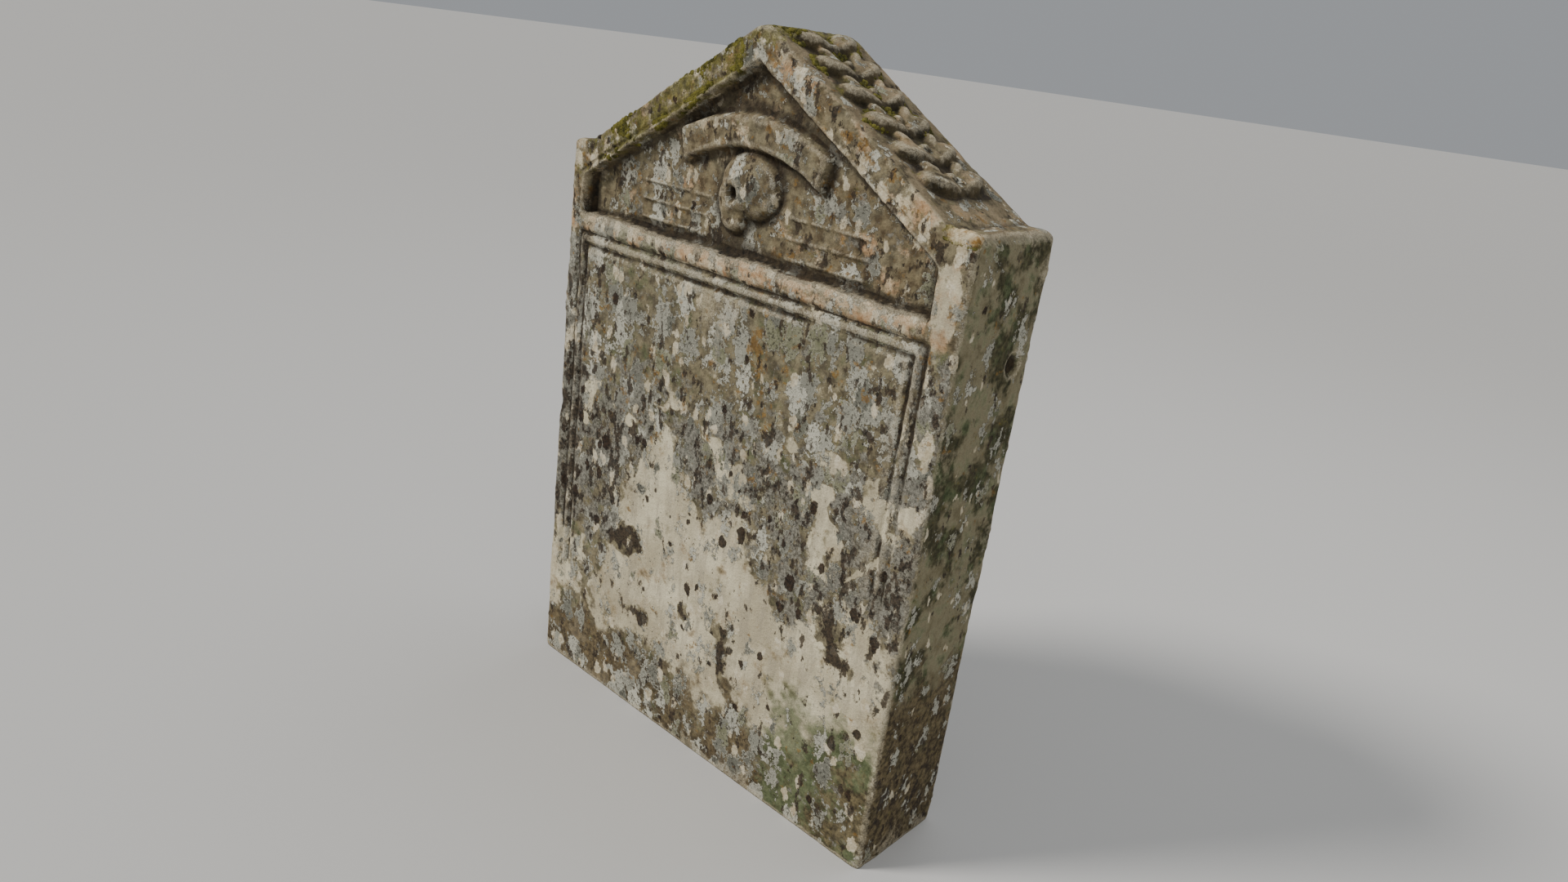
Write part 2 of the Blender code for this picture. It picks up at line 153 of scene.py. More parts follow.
class HeadstoneColours(bpy.types.PropertyGroup):
    """Colours of the stone, of all that grows on it, and of the shade painted into its hollows and
    undersides.
    """
    stone: tones("Bare stone", "Cream sandstone", "aea387", "d2c8aa")
    streaks: tones("Streaks", "Rain streaks on bare stone", "9a907c", "9a907c")
    taupe: tones("Slopes", "Duller stone of slopes and back", "65573f", "8a7b60")
    warm: tones("Iron stain", "Stain of pediment and string", "9c7249", "c29d74")
    shady: tones("Shade film", "Film on the shady faces", "302e1b", "524d35")
    lobes: tones("Shade lichen", "Smooth lichen of the shady faces", "6f674d", "968c71")
    film: tones("Film", "Thin film on the front", "3d3524", "7b7156")
    algae: tones("Algae", "Green algae near the ground", "3f4a2c", "646e4c")
    soil: tones("Soil", "Soil splashed up by rain", "3c3122", "746548")
    fringe: tones("Fringe", "Dark line round a lichen", "352f24", "352f24")
    rim: tones("Rim", "Pale rim of a lichen", "bdb9a8", "bdb9a8")
    crust: tones("Crust", "Grey lichen crust", "57574d", "b9b6a5")
    olive: tones("Olive crust", "Lichens that turned olive", "65654a", "85836a")
    gaps: tones("Gaps", "Dark gaps between warts", "2b281f", "2b281f")
    warty: tones("Warty crust", "Old warty crust in the middle", "3b3830", "918d80")
    cream: tones("Cream lichen", "Oval cream lichens", "b3a587", "d2c8af")
    gold: tones("Golden lichen", "Mustard to orange lichen", "66491f", "8d6d35")
    moss: tones("Flat moss", "Moss too thin for cushions", "3f3c18", "766f35")
    dark: tones("Black growth", "Torn near-black patches", "1e1a15", "463a2c")
    blobs: tones("Black bodies", "Small round near-black bodies", "17110c", "3a2b1d")
    # Painted shade in the wider hollows round the carving, with grime, and a faint darkening over the
    # pediment floor.
    grime: tones("Grime", "Grime round the carving", "1d1914", "3d3428")
    # Dirt and painted shade in the tight creases and on the string course's top ledge.
    dirt: tones("Dirt", "Dirt in the tight creases", "15110c", "3a2f1f")
    # Painted shade on the leaves' downhill faces and under the front's overhangs.
    damp: tones("Damp", "Damp undersides of the leaves", "231e12", "50452f")
    worn: tones("Worn edges", "Stone rubbed clean on its edges", "a1957b", "cfc4aa")
    cushions: tones("Moss cushions", "Living moss", "302f10", "6f692c")
    shoots: tones("Moss shoots", "Tips of the moss", "8f8848", "8f8848")
    golden: tones("Golden cushions", "Lumpy growth on the right shoulder", "8d6b38", "cdbf9f")
    floor: tones("Floor", "Pale matt floor", "c3c1bd", "c3c1bd")


class HeadstoneStage(bpy.types.PropertyGroup):
    """Camera and light."""
    stand: FloatVectorProperty(name="Camera", description="Where the camera stands",
                               subtype="XYZ", unit="LENGTH", default=(0.8088, -0.9244, 0.8755))
    aim: FloatVectorProperty(name="Aim", description="Point that the camera looks at",
                             subtype="XYZ", unit="LENGTH", default=(0.1042, -0.0735, 0.4640))
    roll: turn("Roll", "Camera's lean to one side", -7.87)
    focal: FloatProperty(name="Focal length", description="On a sensor 36 mm wide",
                         subtype="DISTANCE_CAMERA", default=24.44)
    key_strength: FloatProperty(name="Key light", description="Strength of the sun lamp",
                                default=3.1)
    key_spread: turn("Key spread", "How wide the sun lamp looks from the stone", 14)
    fill_power: FloatProperty(name="Fill light", description="Power of the lamp on the right",
                              default=24.0)
    top_power: FloatProperty(name="Top light", description="Power of the lamp overhead",
                             default=26.0)
    air_strength: FloatProperty(name="Studio air", description="Light from all around",
                                default=0.43)


def colour(hex_code):
    """Linear colour from an sRGB hex value."""
    parts = [int(hex_code[place:place + 2], 16) / 255 for place in (0, 2, 4)]
    return [part / 12.92 if part <= 0.04045 else ((part + 0.055) / 1.055) ** 2.4
            for part in parts] + [1.0]


def ramp(low, high, value):
    """Soft step from 0 at low to 1 at high."""
    part = np.clip((value - low) / (high - low), 0.0, 1.0)
    return part * part * (3.0 - 2.0 * part)


def soft_noise(points, size, seed):
    """Gradient noise, about -1 to 1, with lumps about one size apart."""
    random = np.random.RandomState(seed)
    order = random.permutation(256)
    slopes = random.normal(size=(256, 3))
    slopes /= np.linalg.norm(slopes, axis=1)[:, None]
    spot = points / size + random.uniform(0.0, 50.0, 3)
    cell = np.floor(spot).astype(np.int64)
    part = spot - cell
    ease = part ** 3 * (part * (part * 6.0 - 15.0) + 10.0)
    total = np.zeros(len(points))
    for corner in itertools.product((0, 1), repeat=3):
        key = cell + corner
        pick = order[(order[(order[key[:, 0] & 255] + key[:, 1]) & 255] + key[:, 2]) & 255]
        weight = np.prod(np.where(corner, ease, 1.0 - ease), axis=1)
        total += weight * np.einsum("ij,ij->i", slopes[pick], part - corner)
    return total * 1.5


def rough_noise(points, size, seed, octaves=4):
    """Several sizes of soft noise, each half the size and half the height of the last."""
    total = np.zeros(len(points))
    for octave in range(octaves):
        total += soft_noise(points, size / 2 ** octave, seed + 31 * octave) / 2 ** octave
    return total


def cell_noise(points, size, seed):
    """Distance to the nearest of scattered spots, in shares of the spots' spacing."""
    random = np.random.RandomState(seed)
    order = random.permutation(256)
    places = random.uniform(0.0, 1.0, (256, 3))
    spot = points / size + random.uniform(0.0, 50.0, 3)
    cell = np.floor(spot).astype(np.int64)
    nearest = np.full(len(points), 9.0)
    for step in itertools.product((-1, 0, 1), repeat=3):
        key = cell + step
        pick = order[(order[(order[key[:, 0] & 255] + key[:, 1]) & 255] + key[:, 2]) & 255]
        nearest = np.minimum(nearest, np.sum((key + places[pick] - spot) ** 2, axis=1))
    return np.sqrt(nearest)


# Share of the rows that the gable would need at its apex, as its columns get shorter.
HIGH_ROWS_SHARE = 0.86


class Grid:
    """Closed grid of quads over the block: front, back and the rim between them."""

    def __init__(self, carving, spacing):
        self.carving = carving
        self.run = WIDTH / 2 - carving.shoulder_ledge
        self.angle = math.atan(carving.gable_rise / self.run)
        self.columns = round(WIDTH / spacing)
        across = np.linspace(-WIDTH / 2, WIDTH / 2, self.columns + 1)
        apex = carving.shoulder_height + carving.gable_rise
        self.pediment_half = WIDTH / 2 - carving.side_band
        self.pediment_apex = apex - carving.rake_band / math.cos(self.angle)
        eave = self.pediment_apex - math.tan(self.angle) * self.pediment_half
        self.string_top = eave - carving.pediment_side
        self.string_foot = self.string_top - carving.string_height
        level = self.string_top
        low_rows = round(level / spacing)
        high_rows = round((apex - level) * HIGH_ROWS_SHARE / spacing)
        self.rows = low_rows + high_rows
        top = self.top_line(across)
        heights = np.empty((self.columns + 1, self.rows + 1))
        heights[:, :low_rows + 1] = np.linspace(0.0, level, low_rows + 1)
        climb = np.linspace(0.0, 1.0, high_rows + 1)[1:]
        heights[:, low_rows + 1:] = level + (top - level)[:, None] * climb
        self.lay_out(across, heights, spacing)

    def top_line(self, across):
        """Height of the stone's top over each place along the width."""
        carving = self.carving
        reach = np.abs(across)
        slope = math.tan(self.angle)
        height = np.maximum(carving.shoulder_height,
                            carving.shoulder_height + (self.run - reach) * slope)
        half = carving.ridge_round * math.sin(self.angle)
        crown = (carving.shoulder_height + carving.gable_rise
                 - carving.ridge_round / math.cos(self.angle))
        arc = crown + np.sqrt(np.maximum(carving.ridge_round ** 2 - across ** 2, 0.0))
        height = np.where(reach < half, arc, height)
        corner = reach - (WIDTH / 2 - carving.shoulder_round)
        drop = carving.shoulder_round - np.sqrt(
            np.maximum(carving.shoulder_round ** 2 - np.maximum(corner, 0.0) ** 2, 0.0))
        return height - drop

    def lay_out(self, across, heights, spacing):
        """Number the points of both faces and of the rings between them, and the quads."""
        columns, rows = self.columns, self.rows
        face = np.stack([np.repeat(across[:, None], rows + 1, 1), heights], axis=2).reshape(-1, 2)
        number = np.arange(len(face)).reshape(columns + 1, rows + 1)
        loop = np.concatenate([number[:-1, 0], number[-1, :-1], number[:0:-1, -1],
                               number[0, :0:-1]])
        rings = round(THICKNESS / spacing)
        depths = np.linspace(0.0, THICKNESS, rings + 1)
        points = [np.column_stack([face[:, 0], np.zeros(len(face)), face[:, 1]])]
        numbers = [loop]
        start = len(face)
        for depth in depths[1:-1]:
            points.append(np.column_stack([face[loop, 0], np.full(len(loop), depth),
                                           face[loop, 1]]))
            numbers.append(start + np.arange(len(loop)))
            start += len(loop)
        points.append(np.column_stack([face[:, 0], np.full(len(face), THICKNESS), face[:, 1]]))
        numbers.append(start + loop)
        self.points = np.concatenate(points)
        corners = (number[:-1, :-1], number[1:, :-1], number[1:, 1:], number[:-1, 1:])
        front = np.stack([corner.ravel() for corner in corners], axis=1)
        quads = [front, start + front[:, ::-1]]
        for near, far in zip(numbers[:-1], numbers[1:]):
            quads.append(np.stack([near, far, np.roll(far, -1), np.roll(near, -1)], axis=1))
        self.quads = np.concatenate(quads)
        self.front = np.arange(len(face))
        self.back = start + np.arange(len(face))
        self.rim = np.arange(len(face), start)
        self.edge = np.concatenate([loop, start + loop])
        self.share = 1.0 / (2.0 * np.bincount(self.quads.ravel()))

    def face_shares(self):
        """How much each point belongs to the front, the back, the slopes and the sides."""
        shares = np.zeros((len(self.points), 4))
        shares[self.front, 0] = 1.0
        shares[self.back, 1] = 1.0
        on_top = self.points[self.rim, 2] > self.carving.shoulder_height - 0.002
        shares[self.rim[on_top], 2] = 1.0
        shares[self.rim[~on_top], 3] = 1.0
        for _step in range(3):
            shares = self.neighbour_mean(shares)
        return shares

    def rake_inside(self, points):
        """Distance from the plain band along the sloping edge, negative inside the band."""
        return (self.pediment_apex - math.tan(self.angle) * np.abs(points[:, 0])
                - points[:, 2]) * math.cos(self.angle)

    def neighbour_mean(self, values):
        """Mean of each point's neighbours."""
        total = np.zeros_like(values)
        for corner in range(4):
            own = self.quads[:, corner]
            for other in (self.quads[:, corner - 1], self.quads[:, (corner + 1) % 4]):
                for axis in range(values.shape[1]):
                    total[:, axis] += np.bincount(own, values[other, axis], len(values))
        return total * self.share[:, None]

    def normals(self, points):
        """Outward direction at each point."""
        first, second, third, fourth = (points[self.quads[:, corner]] for corner in range(4))
        flat = np.cross(third - first, fourth - second)
        total = np.zeros_like(points)
        for corner in range(4):
            for axis in range(3):
                total[:, axis] += np.bincount(self.quads[:, corner], flat[:, axis], len(points))
        return total / np.maximum(np.linalg.norm(total, axis=1), 1e-12)[:, None]


def dome(across, height, half_across, half_height, relief, fullness=2.3):
    """Rounded lump over an ellipse, flat outside it."""
    spread = (across / half_across) ** 2 + (height / half_height) ** 2
    return relief * np.sqrt(np.clip(1.0 - spread ** (fullness / 2), 0.0, 1.0))


# Lumps of the skull: place across and up, half size across and up, relief, fullness. Places and
# sizes are shares of half the skull's length, and relief is a share of its own relief.
SKULL_LUMPS = {
    "cranium": (0.04, 0.0, 0.98, 0.82, 1.0, 2.3),
    "face": (-0.47, -0.36, 0.50, 0.62, 0.90, 3.2),
    "jaw": (-0.42, -0.86, 0.42, 0.34, 0.74, 3.4),
    "brow": (-0.44, 0.04, 0.40, 0.13, 0.10, 2.3),
    "cheek": (-0.08, -0.48, 0.26, 0.14, 0.16, 2.3),
    "nose": (-0.76, -0.50, 0.10, 0.13, 0.22, 2.3),
    "mouth": (-0.42, -0.86, 0.38, 0.04, 0.10, 2.3),
}
EYE_PLACE = (-0.36, -0.24)
EYE_HALF = (0.17, 0.20)
EYE_SLANT = 0.25
EYE_DEPTH = 0.60
TOOTH_PITCH = 0.125
TOOTH_DEPTH = 0.04
TOOTH_LEVEL = -0.86


def skull_height(across, height, carving):
    """Skull turned a little to the left: cranium, brow, cheek and jaw, less its hollows."""
    relief = carving.skull_relief
    side = across / carving.skull_half
    rise = height / carving.skull_half
    lump = {name: dome(side - place_across, rise - place_up, half_across, half_up,
                       relief * high, fullness)
            for name, (place_across, place_up, half_across, half_up, high, fullness)
            in SKULL_LUMPS.items()}
    bone = np.maximum.reduce([lump["cranium"], lump["face"], lump["jaw"]])
    bone += lump["brow"] + lump["cheek"]
    eye_side, eye_rise = side - EYE_PLACE[0], rise - EYE_PLACE[1]
    socket = np.hypot(eye_side / EYE_HALF[0], (eye_rise + EYE_SLANT * eye_side) / EYE_HALF[1])
    bone -= EYE_DEPTH * relief * ramp(1.25, 0.35, socket)
    bone -= lump["nose"]
    teeth = ramp(0.4, 1.0, np.cos(side * 2 * math.pi / TOOTH_PITCH)) * TOOTH_DEPTH * relief
    bone -= teeth * ramp(0.18, 0.08, np.abs(rise - TOOTH_LEVEL)) * (side < -0.05)
    bone -= lump["mouth"]
    return np.maximum(bone, 0.0)


# Rows of strokes beside the skull, and how far their lengths vary from one to the next.
STROKES_IN_ROW = 3
STROKE_ROWS = 3
STROKE_VARIATION = 0.45
STROKE_VARIATION_STEP = 2.1


def stroke_spans(carving, row):
    """Start and length of each stroke in a row, as the strokes' lengths change by turns."""
    shares = [1.0 + STROKE_VARIATION * math.cos(
        STROKE_VARIATION_STEP * (row * STROKES_IN_ROW + index + 1))
        for index in range(STROKES_IN_ROW)]
    room = (carving.stroke_outer - carving.stroke_inner
            - carving.stroke_gap * (STROKES_IN_ROW - 1))
    start = carving.stroke_inner
    for part in shares:
        reach = room * part / sum(shares)
        yield start, reach
        start += reach + carving.stroke_gap


def stroke_height(across, height, carving):
    """Rows of low rounded strokes at both sides of the skull."""
    radius = carving.stroke_width / 2 + 0.6 * MILLIMETRE
    total = np.zeros(len(across))
    for row in range(STROKE_ROWS):
        level = height - carving.stroke_lowest - row * carving.stroke_pitch
        for start, reach in stroke_spans(carving, row):
            beyond = np.maximum(np.abs(np.abs(across) - start - reach / 2) - reach / 2, 0.0)
            total = np.maximum(total, np.sqrt(np.maximum(radius ** 2 - beyond ** 2 - level ** 2,
                                                         0.0)))
    return total


# Form of the sunk panel's walls and beads, of the ribbon's ends and of the string course.
CORNER_ROUND = 7 * MILLIMETRE
ARRIS_STEP = 2.5 * MILLIMETRE
BEAD_LINE = 2.4 * MILLIMETRE
RIBBON_END_SLANT = 0.34
RIBBON_END_PIVOT = 0.92
STRING_FULLNESS = 2.6


def front_depth(grid, flat):
    """How far the carved front lies behind the stone's face."""
    carving = grid.carving
    across, height = flat[:, 0], flat[:, 2]
    wander = 0.5 * MILLIMETRE * soft_noise(flat, 0.05, 11)
    rake = grid.rake_inside(flat)
    side = np.where(across > 0.0, grid.pediment_half - across,
                    WIDTH / 2 - carving.side_band_left + across)
    mix = np.clip(0.5 + 0.5 * (rake - side) / CORNER_ROUND, 0.0, 1.0)
    walls = rake + (side - rake) * mix - CORNER_ROUND * mix * (1.0 - mix) + wander
    above = height - grid.string_top + wander
    step = carving.pediment_depth - carving.pediment_hollow
    curve = np.sqrt(1.0 - (1.0 - np.clip(walls / carving.pediment_hollow, 0.0, 1.0)) ** 2)
    sunk = (step + carving.pediment_hollow * curve) * ramp(0.0, ARRIS_STEP, walls)
    depth = sunk * ramp(-1.5 * MILLIMETRE, 1.5 * MILLIMETRE, above)

    centre = grid.pediment_apex - carving.ribbon_drop - carving.ribbon_radius
    beside = across - carving.ribbon_offset
    radius = np.hypot(beside, height - centre)
    around = np.abs(np.arctan2(beside, height - centre))
    around += RIBBON_END_SLANT * (radius / carving.ribbon_radius - RIBBON_END_PIVOT)
    ribbon = np.minimum(carving.ribbon_radius - radius,
                        radius - carving.ribbon_radius + carving.ribbon_height)
    ribbon = np.minimum(ribbon, (carving.ribbon_half_angle - around) * carving.ribbon_radius)
    raised = carving.ribbon_relief * ramp(0.0, ARRIS_STEP, ribbon + wander)
    skull = skull_height(beside, height - grid.string_top - carving.skull_rise, carving)
    strokes = stroke_height(beside, height - grid.string_top, carving)
    raised = np.maximum.reduce([raised, skull, strokes])
    depth = np.where(above > 0.0, np.maximum(depth - raised, 0.3 * MILLIMETRE), depth)

    swell = np.abs(height - grid.string_top + carving.string_height / 2) * 2 / carving.string_height
    round_part = np.sqrt(np.clip(1.0 - swell ** STRING_FULLNESS, 0.0, 1.0))
    course = carving.string_swell * (1.0 - round_part)
    course = course * ramp(0.0, 2 * MILLIMETRE, side) * (swell < 1.0)
    depth = np.maximum(depth * (above > 0.0), course)

    bead = np.abs(np.minimum(walls, 0.0) + carving.bead_width)
    cut = BEAD_LINE * np.sqrt(np.clip(1.0 - (bead / BEAD_LINE) ** 2, 0.0, 1.0))
    depth = np.maximum(depth, cut * (height > grid.string_top))

    worn = ramp(-0.8, 0.5, soft_noise(flat, 0.11, 12))
    for inset in (0.0, carving.frame_spacing):
        half = WIDTH / 2 - carving.frame_margin - inset
        away = np.maximum(np.abs(across - carving.frame_offset) - half,
                          height - grid.string_foot + inset)
        away = np.abs(away) + wander * 0.6
        line = np.sqrt(np.clip(1.0 - (away / carving.frame_groove) ** 2, 0.0, 1.0))
        line *= carving.frame_groove * (0.6 + 0.5 * worn)
        foot = carving.frame_foot + 0.02 * soft_noise(flat, 0.03, 13)
        line *= ramp(-0.03, 0.02, height - foot) * np.where(
            across > 0.0, 0.30 + 0.70 * ramp(0.24, 0.40, height), 1.0)
        depth = np.maximum(depth, line)
    return depth


# Form of the leaves, as shares of their size and relief.
LEAF_TAPER = 0.36
LEAF_FULLNESS = 1.7
LEAF_CREST = 0.76
LEAF_CREST_LEAN = 0.24
LEAF_TIP_DROP = 0.45
RIB_DEPTH = 0.9 * MILLIMETRE
RIB_TURNS = 17.0
RIB_LEAN = 2.0
INNER_LEAF_REACH = 0.62
INNER_LEAF_RAISED = 0.30
INNER_LEAF_RELIEF = 0.85
BUD_RAISED = 0.42
BUD_RELIEF = 0.6


def leaf_height(grid, along, climb):
    """Leaf bundles on a slope: along is the depth from the middle, climb the way up."""
    carving = grid.carving
    slope_length = math.hypot(carving.gable_rise, grid.run)
    pitch = ((slope_length - carving.leaf_foot - carving.leaf_top)
             / (carving.leaf_bundles - 0.5))
    reach = THICKNESS / 2 - carving.leaf_edge
    kinds = (
        (carving.outer_leaf_length, carving.outer_leaf_width, carving.outer_leaf_turn, reach,
         0.0, 1.0),
        (carving.inner_leaf_length, carving.inner_leaf_width, carving.inner_leaf_turn,
         reach * INNER_LEAF_REACH, INNER_LEAF_RAISED, INNER_LEAF_RELIEF),
    )
    total = np.zeros(len(along))
    for bundle in range(carving.leaf_bundles):
        tips = carving.leaf_foot + bundle * pitch
        room = pitch if bundle < carving.leaf_bundles - 1 else 0.0
        for hand in (-1, 1):
            for long, wide, turned, out_to, raised, full in kinds:
                middle_along = hand * (out_to - long / 2 * math.cos(turned))
                middle_climb = tips + long / 2 * math.sin(turned) + raised * room
                tip_along, tip_climb = -hand * math.cos(turned), -math.sin(turned)
                ahead = ((along - middle_along) * tip_along
                         + (climb - middle_climb) * tip_climb) / (long / 2)
                beside = ((along - middle_along) * tip_climb
                          - (climb - middle_climb) * tip_along) / (wide / 2)
                narrow = 1.0 - LEAF_TAPER * (np.clip(ahead, -1.0, 1.0) + 1.0) / 2
                spread = ahead ** 2 + (beside / narrow) ** 2
                body = np.sqrt(np.clip(1.0 - spread ** LEAF_FULLNESS, 0.0, 1.0))
                uphill = beside * hand
                leaf = (carving.leaf_relief * full * body
                        * (LEAF_CREST - LEAF_CREST_LEAN * uphill))
                leaf *= 1.0 - LEAF_TIP_DROP * ramp(-0.2, 1.0, ahead)
                ribs = 0.5 + 0.5 * np.cos(uphill * RIB_TURNS + ahead * RIB_LEAN)
                leaf -= RIB_DEPTH * ribs * ramp(-0.35, 0.0, uphill) * (spread < 0.95)
                total = np.maximum(total, leaf)
        bud = dome(along, climb - tips - room * BUD_RAISED, carving.bud_radius,
                   carving.bud_radius, carving.leaf_relief * BUD_RELIEF)
        total = np.maximum(total, bud)
    return total


PIT_DEPTH = 7 * MILLIMETRE
PIT_FULLNESS = 2.0


def carve(grid):
    """Points of the carved block before the weather got to it, and how far each is from an edge."""
    carving = grid.carving
    flat = grid.points.copy()
    carved = flat.copy()
    front = grid.front
    carved[front, 1] = front_depth(grid, flat[front])

    rim = grid.rim
    across, depth, height = flat[rim].T
    on_slope = (np.abs(across) < grid.run) & (height > carving.shoulder_height - 0.001)
    climb = (grid.run - np.abs(across)) / math.cos(grid.angle)
    leaves = leaf_height(grid, depth - THICKNESS / 2, climb) * on_slope
    carved[rim, 0] += np.sign(across) * leaves * math.sin(grid.angle)
    carved[rim, 2] += leaves * math.cos(grid.angle)
    pit_level = carving.shoulder_height - carving.pit_below_shoulder
    pit = dome(depth - carving.pit_from_front, height - pit_level, carving.pit_radius,
               carving.pit_radius, PIT_DEPTH, PIT_FULLNESS)
    carved[rim, 0] -= pit * (across > WIDTH / 2 - 0.001)

    to_rake = (carving.shoulder_height + carving.gable_rise
               - math.tan(grid.angle) * np.abs(flat[:, 0]) - flat[:, 2]) * math.cos(grid.angle)
    to_side = WIDTH / 2 - np.abs(flat[:, 0])
    to_shoulder = np.where(np.abs(flat[:, 0]) > grid.run, carving.shoulder_height - flat[:, 2], 1.0)
    to_outline = np.maximum(np.minimum.reduce([to_rake + (np.abs(flat[:, 0]) > grid.run),
                                               to_side, to_shoulder]), 0.0)
    to_face = np.minimum(flat[:, 1], THICKNESS - flat[:, 1])
    from_edge = np.maximum(to_outline, to_face)
    corner = np.hypot(np.abs(flat[:, 0]) - WIDTH / 2, flat[:, 2] - carving.shoulder_height)
    carved[:, 1] += FRONT
    return carved, np.minimum(from_edge, corner * 0.7)


# Sizes and heights of what the weather leaves on the faces.
WEAR_STEPS = 20
CHIP_SIZE = 45 * MILLIMETRE
CHIP_REACH = 1.8
SWELL_SIZE, SWELL_HEIGHT = 110 * MILLIMETRE, 1.2 * MILLIMETRE
GRAIN_SIZE, GRAIN_HEIGHT = 24 * MILLIMETRE, 0.5 * MILLIMETRE
WART_SPACING = 11 * MILLIMETRE
PIT_SPACING, PIT_LOSS = 35 * MILLIMETRE, 1.6 * MILLIMETRE


def weather(grid, carved, from_edge, wear):
    """Round off the edges, chip them, and roughen every face but the underside."""
    seed = wear.seed
    points = carved
    grounded = points[:, 2] < 1e-6
    near_edge = np.exp(-(from_edge / wear.arris_wear) ** 2)
    soft = 0.30 + 0.5 * ramp(-0.6, 0.6, soft_noise(points, 0.07, seed))
    for step in range(WEAR_STEPS):
        pull = near_edge * soft if step >= 1 else np.maximum(near_edge, 0.5)
        mean = grid.neighbour_mean(points)
        moved = points + (mean - points) * pull[:, None]
        moved[grounded, 2] = 0.0
        points = moved
    out = grid.normals(points)
    spot = points.copy()
    chip = ramp(0.10, 0.80, rough_noise(spot, CHIP_SIZE, seed + 1))
    chip *= ramp(-0.25, 0.5, soft_noise(spot, 0.16, seed + 6))
    reach = np.exp(-(from_edge / (wear.arris_wear * CHIP_REACH)) ** 2)
    push = -wear.chip_depth * chip * reach
    push += SWELL_HEIGHT * soft_noise(spot, SWELL_SIZE, seed + 2)
    push += GRAIN_HEIGHT * rough_noise(spot, GRAIN_SIZE, seed + 3)
    growing = 1.0 - ramp(0.42, 0.36, spot[:, 2]) * ramp(0.06, 0.10, spot[:, 2])
    warts = ramp(0.50, 0.10, cell_noise(spot, WART_SPACING, seed + 4))
    warts *= ramp(-0.3, 0.3, soft_noise(spot, 0.05, seed + 5))
    push += wear.crust * warts * (0.35 + 0.65 * growing)
    pits = ramp(0.30, 0.05, cell_noise(spot, PIT_SPACING, seed + 8))
    push -= PIT_LOSS * pits * ramp(0.0, 0.4, soft_noise(spot, 0.09, seed + 9))
    return points, out, push, grounded


# Upper border of the bare stone low on the front: its usual height, and where it swings up or
# down, as place along the width, reach to each side, and rise.
BARE_TOP = 0.300
BARE_RISES = (
    (-0.085, 0.048, 0.120),
    (0.040, 0.035, 0.055),
    (0.135, 0.045, -0.065),
)

# Spots on the front: place along the width, height, and half size across and up.
DARK_BLOTCHES = (
    (-0.145, 0.240, 0.034, 0.024),
    (-0.165, 0.338, 0.028, 0.016),
    (-0.175, 0.145, 0.022, 0.013),
    (-0.100, 0.140, 0.020, 0.012),
    (0.222, 0.235, 0.024, 0.020),
    (0.050, 0.172, 0.013, 0.048),
    (0.251, 0.156, 0.006, 0.006),
    (0.266, 0.168, 0.006, 0.006),
    (0.234, 0.137, 0.006, 0.006),
    (-0.020, 0.185, 0.012, 0.010),
)
CREAM_SPOTS = (
    (0.276, 0.662, 0.017, 0.048),
    (0.281, 0.512, 0.012, 0.026),
    (0.279, 0.440, 0.015, 0.018),
    (0.060, 0.455, 0.010, 0.014),
)

# How much of each area a growth or stain covers, before place and height change it. The areas
# are panel, grown panel, panel's edge, string course, pediment, band along the rake, slopes,
# right side, left side and back. The grown panel is the part of the panel that is not bare.
SHARES = {
    "warm": (0.04, 0.00, 0.00, 0.62, 0.46, 0.00, 0.08, 0.00, 0.00, 0.00),
    "taupe": (0.00, 0.00, 0.00, 0.00, 0.00, 0.00, 1.00, 0.00, 0.00, 0.60),
    "shady": (0.00, 0.00, 0.00, 0.00, 0.00, 0.00, 0.00, 1.00, 1.00, 0.80),
    "film": (0.00, 0.95, 0.40, 0.36, 0.00, 0.66, 0.50, 0.00, 0.00, 0.00),
    "algae": (0.00, 0.25, 0.00, 0.00, 0.00, 0.00, 0.00, 0.32, 0.32, 0.00),
    "crust": (0.00, 0.60, 0.00, 0.00, 0.00, 0.00, 0.03, 0.06, 0.24, 0.20),
    "warty": (0.00, 0.18, 0.42, 0.00, 0.16, 0.00, 0.00, 0.00, 0.00, 0.00),
    "cream": (0.30, 0.00, 0.00, 0.40, 0.22, 0.42, 0.00, 0.00, 0.00, 0.00),
    "gold": (0.00, 0.00, 0.00, 0.00, 0.12, 0.10, 0.08, 0.00, 0.00, 0.00),
    "moss": (0.05, 0.00, 0.00, 0.00, 0.05, 0.00, 0.12, 0.10, 0.10, 0.12),
    "dark": (0.13, 0.12, 0.14, 0.28, 0.26, 0.00, 0.12, 0.16, 0.16, 0.14),
    "blobs": (0.25, 0.00, 0.00, 0.35, 0.00, 0.00, 0.00, 0.15, 0.15, 0.00),
}
GOLD_PLACE = (0.030, 0.555)
GOLD_REACH = 0.045


def spots_on_front(points, spots, full, gone, wobble):
    """Each spot's mask over the points, whole inside full, gone past gone, with a wavy outline."""
    for place_across, place_up, half_across, half_up in spots:
        away = np.hypot((points[:, 0] - place_across) / half_across,
                        (points[:, 2] - place_up) / half_up)
        yield ramp(gone, full, away + wobble)


